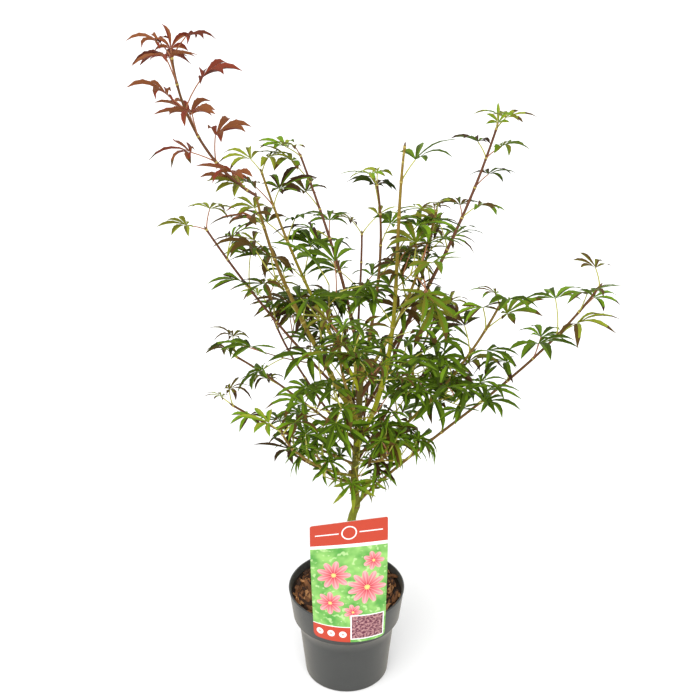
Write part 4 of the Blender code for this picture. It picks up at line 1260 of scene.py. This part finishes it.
class MAPLE_OT_trunk(bpy.types.Operator):
    """Makes the trunk with its flare, kink, bark ridges and pruned stubs."""

    bl_idname = "maple.trunk"
    bl_label = "Trunk"

    def execute(self, context):
        wood = context.scene.maple.wood
        foot = SOIL_LEVEL + GAP
        steps = round((FORK_HEIGHT - foot) / 0.003)
        rise = FORK_HEIGHT - foot
        route = Route([trunk_axis(foot + rise * i / steps) for i in range(steps + 1)])

        def radius_at(distance):
            radius = trunk_radius(foot + rise * (distance / route.length))
            return radius * swelling(distance, TRUNK_SCARS, SCAR_SWELLING, SCAR_REACH)

        def stub_radius_at(distance):
            return KNOB_RADIUS * (1.12 - 12 * distance)

        bm = draw_limb(route, radius_at, TRUNK_SCARS, TRUNK_SIDES, wood, 3.7)
        for vert in bm.verts:
            vert.co.z = max(vert.co.z, foot)
        for i, (height, turn) in enumerate(KNOBS):
            start = trunk_axis(height)
            way = direction(KNOB_LEAN, turn)
            stub_route = Route([start + way * KNOB_LENGTH * k / 6 for k in range(7)])
            stub = draw_limb(stub_route, stub_radius_at, [], STUB_SIDES, wood, 9.1 + i)
            self.cut_end(stub, start + way * KNOB_LENGTH, way)
            stub_mesh = mesh_of("stub", stub)
            bm.from_mesh(stub_mesh)
            bpy.data.meshes.remove(stub_mesh)
        finishes = [
            limb_bark("trunk_bark", wood.trunk, wood.trunk_top, wood.scar),
            limb_bark("scar_bark", wood.scar, wood.brown, (0.06, 0.035, 0.02)),
        ]
        add_piece("trunk_bark", mesh_of("trunk_bark", bm), finishes, ["trunk"])
        return {"FINISHED"}

    def cut_end(self, stub, end, way):
        """A sunk, darker pith where a limb was pruned."""
        cap = min(stub.faces, key=lambda f: (f.calc_center_median() - end).length)
        inset = bmesh.ops.inset_region(
            stub, faces=[cap], thickness=PITH_EDGE, depth=-PITH_DEPTH
        )["faces"]
        cut = [f for f in stub.faces if (f.calc_center_median() - end).dot(way) > -CUT_BAND]
        for face in cut + inset:
            face.material_index = 1


class MAPLE_OT_limbs(bpy.types.Operator):
    """Makes every bough, each running on as the leafy stem to its tip, and the short stems."""

    bl_idname = "maple.limbs"
    bl_label = "Boughs and stems"

    def execute(self, context):
        maple = context.scene.maple
        wood = maple.wood
        finishes = bark_finishes(wood)
        collar = stalk_skin("node_collar", wood.collar)
        dark_bud = stalk_skin("bud_scales", wood.scar)
        for i, shoot in enumerate(SHOOTS + TUFTS + (RED_TIP,)):
            route = shoot_route(shoot)
            nodes = node_distances(shoot, route, maple.leaf.node_step)
            if shoot.bare:
                nodes += [shoot.bare * route.length * share for share in BOUGH_SCARS]
            radius_at = self.taper(shoot, route, nodes, wood)
            bm = draw_limb(route, radius_at, nodes, LIMB_SIDES, wood, 1.3 * i)
            tip, way = route.at(route.length)
            bud(bm, tip - way * 0.001, way, END_BUD, 2)
            bud_pair(bm, tip - way * 0.002, way, shoot.turn, 0.5, SIDE_BUD, 2)
            if shoot.name == BARE_TIP:
                for back in STUB_NODES:
                    point, way = route.at(route.length - back)
                    bud_pair(bm, point, way, shoot.turn, 0.9, STUB_BUD, 1)
            covered = [f"bough_{shoot.name}"] if shoot.bare else []
            covered.append(f"leaves_{shoot.name}")
            name = f"{shoot.name}_limb" if shoot.bare else f"{shoot.name}_stem"
            skins = [finishes[shoot.bark], collar, dark_bud]
            add_piece(name, mesh_of(name, bm), skins, covered)
        return {"FINISHED"}

    def taper(self, shoot, route, nodes, wood):
        """A limb's radius at a distance along it: flared at the trunk, swollen at its nodes."""
        exit_at = trunk_radius(min(shoot.height, FORK_HEIGHT)) / math.sin(math.radians(shoot.lean))

        def radius_at(distance):
            share = distance / route.length
            shoulder = shoot.radius * BOUGH_TAPER
            if shoot.bare and share < shoot.bare:
                radius = shoot.radius + (shoulder - shoot.radius) * share / shoot.bare
            else:
                start = shoulder if shoot.bare else shoot.radius
                radius = start + (STEM_TIP_RADIUS - start) * (share - shoot.bare) / (1 - shoot.bare)
            if shoot is not RED_TIP:
                radius *= 1 + SHOULDER * math.exp(-max(distance - exit_at, 0.0) / SHOULDER_REACH)
            return radius * swelling(distance, nodes, wood.swelling, NODE_REACH)

        return radius_at


# --- Leaves, stalks and twigs -------------------------------------------------------------------


class Shape:
    """A small mesh as arrays, ready to be placed many times. tags pick a face's finish."""

    def __init__(self, points, faces, uvs, tags):
        self.points = points
        self.faces = faces
        self.uvs = uvs
        self.tags = tags

    @classmethod
    def from_bmesh(cls, bm):
        bm.verts.index_update()
        points = np.array([v.co for v in bm.verts])
        faces = [[v.index for v in f.verts] for f in bm.faces]
        layer = bm.loops.layers.uv.get("blade")
        uvs = [tuple(l[layer].uv) if layer else (0.0, 0.0) for f in bm.faces for l in f.loops]
        tags = [f.material_index for f in bm.faces]
        bm.free()
        return cls(points, faces, uvs, tags)

    def placed(self, matrix):
        turn = np.array(matrix.to_3x3())
        return self.points @ turn.T + np.array(matrix.translation)


class Batch:
    """Many placed shapes joined into one mesh."""

    def __init__(self):
        self.points = []
        self.faces = []
        self.uvs = []
        self.slots = []
        self.count = 0

    def add(self, shape, matrix, slots):
        """slots gives the material for each of the shape's tags."""
        self.points.append(shape.placed(matrix))
        self.faces += [[i + self.count for i in face] for face in shape.faces]
        self.uvs += shape.uvs
        self.slots += [slots[tag] for tag in shape.tags]
        self.count += len(shape.points)

    def mesh(self, name):
        mesh = bpy.data.meshes.new(name)
        mesh.from_pydata(np.concatenate(self.points), [], self.faces)
        mesh.polygons.foreach_set("material_index", self.slots)
        layer = mesh.uv_layers.new(name="blade")
        layer.data.foreach_set("uv", np.array(self.uvs).ravel())
        mesh.update()
        return mesh


def lobe_half_width(share, half_width):
    """A lance-shaped lobe: narrow at its foot, widest past its middle, drawn out to a fine tip."""
    return half_width * math.sin(math.pi * share**LOBE_SKEW)


class LeafStyle:
    """One leaf's habit: how its lobes spread, rise, droop, fold and twist."""

    def __init__(self, rng, half_width, droop, is_young):
        self.half_width = half_width * rng.uniform(0.88, 1.12)
        self.spread = rng.uniform(0.86, 1.04)
        self.rise = rng.uniform(0.28, 0.48)
        self.droop = droop * rng.uniform(0.75, 1.25)
        self.fold = rng.uniform(0.25, 0.60)
        self.twist = rng.uniform(-0.5, 0.5)
        self.sickle = rng.uniform(4, 16)
        # The side of each lobe that takes the third tint, the painted light and shade of the fold.
        self.hand = rng.choice((-1, 1))
        self.tips_from = rng.choice((0.55, 0.72, 0.72, 0.90))
        self.lobes = LOBES if rng.random() < 0.5 else LOBES[1:-1]
        if is_young:
            self.lobes = YOUNG_LOBES
            self.fold = rng.uniform(0.6, 1.1)
            self.twist = rng.uniform(-1.2, 1.2)
            self.sickle = rng.uniform(10, 34)


def draw_lobe(bm, layer, style, lobe, previous, following, rng):
    """One lobe of a leaf, as a narrow grid bent to its outline."""
    turn, length = lobe
    is_small = length < SMALL_LOBE
    stations = SMALL_STATIONS if is_small else STATIONS
    rows = len(stations) - 1
    made = bmesh.ops.create_grid(bm, x_segments=2, y_segments=rows, size=1.0)["verts"]
    length *= rng.uniform(0.80, 1.08)
    sickle = math.radians(style.sickle) * (1 if turn > 0 else -1 if turn else rng.choice((-0.5, 0.5)))
    droop = style.droop * rng.uniform(0.7, 1.35)
    twist = style.twist * rng.uniform(0.4, 1.4)
    half_width = style.half_width * (SMALL_LOBE_WIDTH if is_small else 1.0)
    where = {}
    for vert in made:
        row = round((vert.co.y + 1) / 2 * rows)
        side = round(vert.co.x)
        share = stations[row]
        where[vert] = (side, row, share)
        angle = math.radians(turn * style.spread) + sickle * share**2
        forward = Vector((math.sin(angle), math.cos(angle), 0.0))
        across = Vector((math.cos(angle), -math.sin(angle), 0.0))
        wide = side * lobe_half_width(share, half_width) if row < rows else 0.0
        point = forward * share * length + across * wide
        if row == 1 and side:
            point = notch_point(turn, following if side > 0 else previous, style)
        if row == 0:
            point = Vector((0.0, 0.0, 0.0))
        lift = style.rise * share - droop * share**DROOP_BEND
        fold = abs(wide) * (style.fold + twist * side * share)
        point.z = lift * length + (fold if row > 1 else 0.0)
        vert.co = point
    for face in {f for v in made for f in v.link_faces}:
        spots = [where[v] for v in face.verts]
        middle = sum(s[2] for s in spots) / len(spots)
        side = sum(s[0] for s in spots)
        # Tag 2, on one side of each lobe, takes the painted light and shade of the fold.
        face.material_index = 1 if middle > style.tips_from else 2 if side * style.hand > 0 else 0
        for loop in face.loops:
            side, _, share = where[loop.vert]
            loop[layer].uv = (0.5 + 0.5 * side, share)
    if not is_small:
        cut_teeth(where, rows)


def notch_point(turn, neighbour, style):
    """Where a lobe's edge meets its neighbour's, or the leaf's shoulder where there is none."""
    if neighbour is None:
        away = math.radians((turn + math.copysign(SHOULDER_TURN, turn)) * style.spread)
        return Vector((math.sin(away), math.cos(away), 0.0)) * SMALL_NOTCH_REACH * 0.7
    between = math.radians((turn + neighbour[0]) / 2 * style.spread)
    # The middle lobe and the small ones are cut free nearer to the hub.
    by_small = neighbour[1] < SMALL_LOBE or max(abs(turn), abs(neighbour[0])) > OUTER_TURN
    reach = SMALL_NOTCH_REACH if by_small or turn == 0 else NOTCH_REACH
    return Vector((math.sin(between), math.cos(between), 0.0)) * reach


def cut_teeth(where, rows):
    """Saw teeth along a lobe's edges: each edge is split, and the new corner is set back."""
    outer = [
        edge
        for edge in {e for v in where for e in v.link_edges}
        if edge.is_boundary
        and all(v in where and where[v][0] and 1 <= where[v][1] < rows for v in edge.verts)
        and where[edge.verts[0]][0] == where[edge.verts[1]][0]
    ]
    for edge in outer:
        low = min(edge.verts, key=lambda v: where[v][1])
        middle_low = next(v for v in where if where[v][:2] == (0, where[low][1]))
        _, made = bmesh.utils.edge_split(edge, low, TOOTH_PLACE)
        made.co = made.co.lerp(middle_low.co, TOOTH_BACK)


def leaf_shape(rng, half_width, droop, is_young=False):
    """A hand of lobes, some with two small ones too: its hub at the origin, its middle along +Y."""
    style = LeafStyle(rng, half_width, droop, is_young)
    bm = bmesh.new()
    layer = bm.loops.layers.uv.new("blade")
    for i, lobe in enumerate(style.lobes):
        previous = style.lobes[i - 1] if i else None
        following = style.lobes[i + 1] if i + 1 < len(style.lobes) else None
        draw_lobe(bm, layer, style, lobe, previous, following, rng)
    bmesh.ops.remove_doubles(bm, verts=bm.verts, dist=1e-4)
    for face in bm.faces:
        face.normal_update()
        if face.normal.z < 0:
            face.normal_flip()
    return Shape.from_bmesh(bm)


def tube_shape(points, radii, sides):
    """A slender closed tube along a few points."""
    ways = [(b - a).normalized() for a, b in zip(points, points[1:])]
    twist = UP.rotation_difference(ways[0])
    rings = []
    for i, (centre, radius) in enumerate(zip(points, radii)):
        if i:
            twist = ways[i - 1].rotation_difference(ways[min(i, len(ways) - 1)]) @ twist
        for k in range(sides):
            angle = math.tau * k / sides
            rings.append(centre + twist @ Vector((math.cos(angle), math.sin(angle), 0.0)) * radius)
    faces = [list(range(sides))[::-1]]
    for i in range(len(points) - 1):
        for k in range(sides):
            a, b = i * sides + k, i * sides + (k + 1) % sides
            faces.append([a, b, b + sides, a + sides])
    faces.append([(len(points) - 1) * sides + k for k in range(sides)])
    corners = sum(len(face) for face in faces)
    return Shape(np.array(rings), faces, [(0.0, 0.0)] * corners, [0] * len(faces))


def bent_points(start, way, end, steps, knee_share):
    """Points from start to end that set out along way and bend over."""
    knee = start + way * (end - start).length * knee_share
    points = []
    for i in range(steps + 1):
        t = i / steps
        points.append((1 - t) ** 2 * start + 2 * t * (1 - t) * knee + t * t * end)
    return points


def ramp(value, start, span):
    """How far a value is past the start, as a share of the span, from 0 to 1."""
    return min(max((value - start) / span, 0.0), 1.0)


def above_floor(points):
    """True where no point hangs below the crown's underside, or below its hem seen from the front."""
    spread = np.hypot(points[:, 0], points[:, 1])
    rise = np.where(points[:, 0] < 0, *CROWN_RISES)
    floor = LEAF_FLOOR + rise * np.maximum(0.0, spread - CROWN_FOOT)
    seen = points[:, 2] + LOOK_DOWN * points[:, 1]
    hem = np.interp(points[:, 0], *zip(*CROWN_HEM))
    return bool((points[:, 2] > floor).all() and (seen > hem).all())


class Lane:
    """Lines of sight from an eye, kept clear by this share of the leaves before their ends."""

    def __init__(self, eye, points, width, share):
        self.eye = np.array(eye)
        self.lines = np.array(points) - self.eye
        self.spans = (self.lines**2).sum(axis=1)
        self.width = width
        self.share = share

    def is_crossed(self, points):
        away = points - self.eye
        shares = away @ self.lines.T / self.spans
        gaps = np.linalg.norm(self.lines[None] * shares[:, :, None] - away[:, None], axis=2)
        return bool(((shares < LANE_END) & (gaps < self.width)).any())


def clear_lanes(eye):
    """The lanes onto the trunk, the tallest stem and those beside it, and through the openings."""
    routes = {shoot.name: shoot_route(shoot, LANE_STEP).points for shoot in SHOOTS}
    trunk = [trunk_axis(SEEN_TRUNK + SEEN_TRUNK_STEP * i) for i in range(SEEN_TRUNK_STEPS)]
    beside = [point for name in SEEN_STEMS for point in routes[name] if point.z > SEEN_FROM]
    eye = Vector(eye)
    reach = (CAD_HIGH[1] - eye.y) / -eye.y
    openings = [(width, *place) for width, places in OPENINGS.items() for place in places]
    skies = [eye + (Vector((x, 0.0, z)) - eye) * reach for _, x, z in openings]
    return (
        Lane(eye, trunk, *TRUNK_LANE),
        Lane(eye, routes[BARE_TIP], *TALL_LANE),
        Lane(eye, beside, *SIDE_LANE),
        Lane(eye, skies, np.array(openings)[:, 0], OPENING_SHARE),
    )


Leaf = namedtuple("Leaf", "root way hub shape matrix tints")


class Growth:
    """One mass as it grows from its stem: the room it has, and what it has grown so far."""

    def __init__(self, shoot, leaf, rng, hubs, lanes, shapes):
        self.shoot = shoot
        self.is_tuft = shoot in TUFTS
        self.leaf = leaf
        self.rng = rng
        self.hubs = hubs
        self.lanes = lanes
        self.shapes = shapes
        low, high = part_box(f"leaves_{shoot.name}")
        spare = Vector((BOX_SPARE,) * 3)
        clear = Vector((BOX_CLEAR,) * 3)
        self.low = np.maximum(low - spare, Vector(CAD_LOW) + clear)
        self.high = np.minimum(high + spare, Vector(CAD_HIGH) - clear)
        self.leaves = []
        self.twigs = []

    def has_room(self, points):
        inside = (points >= self.low).all() and (points <= self.high).all()
        return bool(inside) and above_floor(points)

    def leaf_pose(self, point, way, turn, scale):
        """Where a leaf's hub stands off its stem, and the directions its blade faces."""
        rng = self.rng
        outward = UP.rotation_difference(way) @ direction(90, turn)
        rise = (outward + way * rng.uniform(0.6, 1.4) + UP * 0.3).normalized()
        level = Vector((rise.x, rise.y, 0.0))
        if level.length < 0.2:
            level = Vector((outward.x, outward.y, 0.0))
        height = ramp(point.z, *SLOPE_RISE)
        slopes = [low + (high - low) * height for low, high in zip(LOW_SLOPES, HIGH_SLOPES)]
        slope = rng.uniform(*slopes)
        if self.is_tuft:
            slope = rng.uniform(*TUFT_SLOPES)
        slope = math.radians(min(slope, math.degrees(math.asin(rise.z)) - STALK_BEND))
        forward = level.normalized() * math.cos(slope) + UP * math.sin(slope)
        side = UP.cross(forward).normalized()
        roll = BLADE_ROLL - HIGH_ROLL_LOSS * height
        normal = Quaternion(forward, rng.uniform(-roll, roll)) @ forward.cross(side)
        length = self.leaf.stalk_length * scale * rng.uniform(0.75, 1.3)
        return point + rise * length, forward, normal

    def grow_leaf(self, point, way, turn, scale, tints):
        """Adds a leaf at the first turn and size that has room for it, or none."""
        scale *= LEAF_SCALES.get(self.shoot.name, 1.0)
        # The lanes that this leaf spares, so that what lies behind it shows.
        lanes = [lane for lane in self.lanes if self.rng.random() < lane.share]
        shifts = SHIFTS
        if self.is_tuft:
            lanes, shifts = lanes[:1], TUFT_SHIFTS
        for shrink in SHRINKS:
            for shift in shifts:
                pose = self.leaf_pose(point, way, turn + shift, scale * shrink)
                if any((pose[0] - other).length < LEAF_GAP for other in self.hubs):
                    continue
                if self.place_leaf(point, way, pose, scale * shrink, tints, lanes):
                    return

    def place_leaf(self, root, way, pose, scale, tints, lanes=()):
        """Adds a leaf if every corner of its blade has room and spares the lanes."""
        first = round(ramp(root.z, *SHAPE_RISE) * len(self.shapes) / 2)
        shape = self.shapes[first + self.rng.randrange(len(self.shapes) // 2)]
        hub, forward, normal = pose
        reach = self.leaf.blade_reach * scale
        turn = Matrix((forward.cross(normal), forward, normal)).transposed()
        matrix = Matrix.LocRotScale(hub, turn, Vector((reach, reach, reach)))
        points = shape.placed(matrix)
        if not self.has_room(points) or any(lane.is_crossed(points) for lane in lanes):
            return False
        self.hubs.append(hub)
        self.leaves.append(Leaf(root, way, hub, shape, matrix, tints))
        return True

    def grow_twig(self, point, way, turn, share, order, tints):
        """A side twig with a pair of leaves at its tip, and finer twigs or leaves on its way."""
        rng = self.rng
        out = UP.rotation_difference(way) @ direction(rng.uniform(*TWIG_LEANS), turn)
        out = (out + UP * TWIG_LIFT).normalized()
        length = self.leaf.twig_length * share * rng.uniform(0.75, 1.2) * FINER_LENGTH**order
        end = point + out * length + UP * TWIG_ARCH * length
        if not self.has_room(np.array([end])):
            return False
        points = bent_points(point, out, end, 5, 0.45)
        tip_way = (points[-1] - points[-2]).normalized()
        grown = len(self.leaves)
        for side in (90, 270):
            scale = TWIG_LEAF_SCALE * FINER_LEAVES**order * rng.uniform(0.9, 1.1)
            self.grow_leaf(end, tip_way, turn + side, scale, tints)
        if len(self.leaves) == grown:
            return False
        foot = TWIG_RADIUS * FINER_RADIUS**order
        self.twigs.append((points, [foot * (1 - TWIG_TAPER * i) for i in range(len(points))]))
        if length > FORKING_TWIG:
            middle = points[len(points) // 2]
            for side in (0, 180):
                facing = turn + side + rng.uniform(-STEM_TURN, STEM_TURN)
                if order == 0 and rng.random() < FINE_TWIG_CHANCE:
                    self.grow_twig(middle, out, facing, share, order + 1, tints)
                else:
                    scale = TWIG_MIDDLE_SCALE * rng.uniform(0.85, 1.1)
                    self.grow_leaf(middle, out, facing, scale, tints)
        return True

    def twig_chance(self, point):
        """The chance of a twig at a place: most low on the plant and near its middle."""
        spread = math.hypot(point.x, point.y)
        chance = self.leaf.twig_chance * max(TWIG_LEAST, TWIG_MOST - spread / TWIG_SPREAD)
        return chance * (ramp(point.z, *TWIG_FADE) * TWIGGY.get(self.shoot.name, 1.0))

    def leaf_scale(self, share, is_tip):
        """The size of a leaf by its share of the way along the stem."""
        if self.shoot is RED_TIP:
            return RED_LEAF_SCALE * RED_LEAF_SCALES[is_tip]
        return TIP_LEAF_SCALE if is_tip else 1.0 - LEAF_SHORTENING * share

    def grow(self):
        """Opposite pairs up a stem, each turned across the last: leaves, or twigs low on the stem."""
        rng, name = self.rng, self.shoot.name
        route = shoot_route(self.shoot)
        nodes = node_distances(self.shoot, route, self.leaf.node_step)
        turn = rng.uniform(0, 360)
        for i, distance in enumerate(nodes):
            point, way = route.at(distance)
            share = i / (len(nodes) - 1)
            is_tip = distance == nodes[-1]
            if name == BARE_TIP and is_tip:
                continue
            for side in (0, 180):
                facing = turn + side + rng.uniform(-STEM_TURN, STEM_TURN)
                tints = spray_tints(name, rng, point, is_tip)
                if not is_tip and rng.random() > FULLNESS.get(name, 1.0):
                    continue
                wants_twig = (
                    share < TWIG_REGION
                    and rng.random() < self.twig_chance(point)
                    and self.shoot is not RED_TIP
                )
                length = 1 - TWIG_SHORTENING * share
                if wants_twig and self.grow_twig(point, way, facing, length, 0, tints):
                    continue
                scale = rng.uniform(0.9, 1.08) * self.leaf_scale(share, is_tip)
                self.grow_leaf(point, way, facing, scale, tints)
            turn += 90
        if name in UPRIGHT_TIPS:
            self.grow_upright(point, way, tints)

    def grow_upright(self, point, way, tints):
        """The young leaf that stands up on top of a shoot."""
        forward = direction(UPRIGHT_LEAN, UPRIGHT_TURN)
        normal = forward.cross(UP.cross(forward).normalized())
        for shrink in UPRIGHT_SHRINKS:
            scale = UPRIGHT_TIPS[self.shoot.name] * shrink
            hub = point + way * self.leaf.stalk_length * scale / 2
            if self.place_leaf(point, way, (hub, forward, normal), scale, tints):
                return


def deal(rng, shares):
    """One of a dict's keys, each as often as its share says."""
    return rng.choices(list(shares), shares.values())[0]


def spray_tints(name, rng, point, is_tip):
    """Three tints for one spray: its blades', that of their tips, and that of half of each lobe, where a
    green half is painted light and shade of the lobe's fold.
    """
    height = ramp(point.z, *TINT_RISE)

    def rising(low, more):
        return low + more * height

    if name == "red_tip":
        return deal(rng, RED_SPRAYS)
    if name == "left_leader" and height > LEADER_FROM:
        return deal(rng, LEADER_SPRAYS)
    if is_tip and height > TIPS_FROM and not name.startswith("front"):
        return deal(rng, TIP_SPRAYS)
    if name == "foot_tuft":
        return rng.choice(FOOT_SPRAYS)
    brown = deal(rng, BROWNS)
    if rng.random() < rising(*BROWN_BLADES):
        return brown, "purple", rng.choice(("shade", "deep", "olive"))
    green = deal(rng, {tint: rising(*share) for tint, share in GREENS.items()})
    # Leaves inside the crown are often dealt a darker green: painted shade.
    low, high = SHADED_HEIGHTS
    is_inner = math.hypot(point.x, point.y) < SHADED_SPREAD and low < point.z < high
    if is_inner and rng.random() < SHADED_CHANCE:
        green = TIP_AND_SHADE_TINTS[green]
    tip = brown if rng.random() < rising(*BROWN_TIPS) else TIP_AND_SHADE_TINTS.get(green, green)
    # Where the half isn't brown, it is a lighter or darker green: painted light and shade of the fold.
    half = brown if rng.random() < rising(*BROWN_HALVES) else FOLD_LIGHT_AND_SHADE.get(green, green)
    return green, tip, half


class MAPLE_OT_foliage(bpy.types.Operator):
    """Grows every mass of leaves: its side twigs, its leaf stalks and its blades."""

    bl_idname = "maple.foliage"
    bl_label = "Foliage"

    def execute(self, context):
        maple = context.scene.maple
        leaf = maple.leaf
        shapes, young = self.cut_leaves(leaf)
        skins = {tint: leaf_skin(f"leaf_{tint}", getattr(leaf, tint)) for tint in TINTS}
        stalks = [
            stalk_skin("stalk_green", leaf.stalk),
            stalk_skin("stalk_pink", leaf.pink_stalk),
            stalk_skin("twig_olive", maple.wood.olive),
            stalk_skin("twig_russet", maple.wood.russet),
        ]
        lanes = clear_lanes(maple.stage.camera_place)
        hubs = []
        for shoot in SHOOTS + TUFTS + (RED_TIP,):
            rng = random.Random(f"{leaf.seed} {shoot.name}")
            growth = Growth(shoot, leaf, rng, hubs, lanes, young if shoot is RED_TIP else shapes)
            growth.grow()
            self.dress(growth, skins, stalks)
        print(f"{len(hubs)} leaves")
        return {"FINISHED"}

    def cut_leaves(self, leaf):
        """The leaves that are placed again and again: full ones, from low to high, and young ones."""
        rng = random.Random(leaf.seed)
        (width, broader), (droop, flatter) = LEAF_WIDTHS, LEAF_DROOPS
        shapes = []
        for i in range(LEAF_SHAPES):
            share = i / LEAF_SHAPES
            half_width = leaf.lobe_half_width * (width + broader * share)
            shapes.append(leaf_shape(rng, half_width, droop - flatter * share))
        young = []
        for _ in range(YOUNG_SHAPES):
            young.append(leaf_shape(rng, leaf.lobe_half_width, YOUNG_DROOP, is_young=True))
        return shapes, young

    def dress(self, growth, skins, stalks):
        """Joins a mass's blades into one piece, and its stalks and twigs into another."""
        shoot, rng = growth.shoot, growth.rng
        is_red = shoot is RED_TIP
        is_dark = shoot.bark in ("russet", "wine")
        tints = sorted({tint for grown in growth.leaves for tint in grown.tints})
        blades, woods = Batch(), Batch()
        for grown in growth.leaves:
            blades.add(grown.shape, grown.matrix, [tints.index(tint) for tint in grown.tints])
            out = (grown.hub - grown.root).normalized()
            out = (grown.way * 0.4 + out).normalized()
            points = bent_points(grown.root, out, grown.hub, len(STALK_RADII) - 1, 0.4)
            is_pink = is_red or rng.random() < PINK_STALKS[is_dark]
            woods.add(tube_shape(points, STALK_RADII, STALK_SIDES), Matrix(), [int(is_pink)])
        for points, radii in growth.twigs:
            woods.add(tube_shape(points, radii, TWIG_SIDES), Matrix(), [3 if is_dark else 2])
        node = [f"leaves_{shoot.name}"]
        name = f"{shoot.name}_blades"
        finishes = [skins[tint] for tint in tints]
        add_piece(name, blades.mesh(name), finishes, node, sharp_angle=24)
        name = f"{shoot.name}_twigs"
        add_piece(name, woods.mesh(name), stalks, node)


# --- Stage --------------------------------------------------------------------------------------


class MAPLE_OT_stage(bpy.types.Operator):
    """Makes the pale floor, the soft light and the camera."""

    bl_idname = "maple.stage"
    bl_label = "Stage"

    def execute(self, context):
        settings = context.scene.maple.stage
        scene = context.scene
        scene.view_settings.view_transform = "Standard"
        bm = bmesh.new()
        bmesh.ops.create_grid(bm, x_segments=8, y_segments=8, size=settings.floor_width / 2)
        floor = bpy.data.objects.new("floor", mesh_of("floor", bm, recalculate=False))
        scene.collection.objects.link(floor)
        finish = Finish("pale_floor", Roughness=0.9, Specular_IOR_Level=0.1)
        speckle = finish.grain(finish.place(), 3.0, 2.0)
        finish.show(Base_Color=finish.mix(speckle, settings.floor, toned(settings.floor, 1.02)))
        floor.data.materials.append(finish.material)

        world = bpy.data.worlds.new("studio")
        world.use_nodes = True
        background = world.node_tree.nodes["Background"]
        background.inputs["Color"].default_value = (1.0, 1.0, 1.0, 1.0)
        background.inputs["Strength"].default_value = settings.sky_strength
        scene.world = world
        sun = bpy.data.lights.new("soft_key", "SUN")
        sun.energy = settings.sun_strength
        sun.angle = math.radians(KEY_SPREAD)
        key = bpy.data.objects.new("soft_key", sun)
        key.rotation_euler = Euler([math.radians(turn) for turn in KEY_TURN])
        scene.collection.objects.link(key)

        camera = bpy.data.cameras.new("camera")
        camera.lens = settings.lens
        camera.sensor_width = SENSOR_WIDTH
        camera.clip_end = SIGHT_END
        eye = bpy.data.objects.new("camera", camera)
        eye.location = settings.camera_place
        eye.rotation_euler = Euler((math.radians(90) - settings.camera_pitch, 0.0, 0.0))
        scene.collection.objects.link(eye)
        scene.camera = eye
        return {"FINISHED"}


class MAPLE_PT_parts(bpy.types.Panel):
    """Lists the maple's pieces in the sidebar."""

    bl_idname = "MAPLE_PT_parts"
    bl_label = "Potted Maple"
    bl_space_type = "VIEW_3D"
    bl_region_type = "UI"
    bl_category = "Maple"

    def draw(self, context):
        for operator in OPERATORS:
            self.layout.operator(operator.bl_idname)


OPERATORS = (
    MAPLE_OT_stage,
    MAPLE_OT_pot,
    MAPLE_OT_potting_mix,
    MAPLE_OT_plant_label,
    MAPLE_OT_trunk,
    MAPLE_OT_limbs,
    MAPLE_OT_foliage,
)
CLASSES = (
    MaplePotSettings,
    MapleMixSettings,
    MapleLabelSettings,
    MapleWoodSettings,
    MapleLeafSettings,
    MapleStageSettings,
    MapleSettings,
    *OPERATORS,
    MAPLE_PT_parts,
)


def register():
    for cls in CLASSES:
        bpy.utils.register_class(cls)
    bpy.types.Scene.maple = PointerProperty(type=MapleSettings)


def unregister():
    del bpy.types.Scene.maple
    for cls in reversed(CLASSES):
        bpy.utils.unregister_class(cls)


def main():
    register()
    bpy.ops.maple.stage()
    bpy.ops.maple.pot()
    bpy.ops.maple.potting_mix()
    bpy.ops.maple.plant_label()
    bpy.ops.maple.trunk()
    bpy.ops.maple.limbs()
    bpy.ops.maple.foliage()


if __name__ == "__main__":
    main()
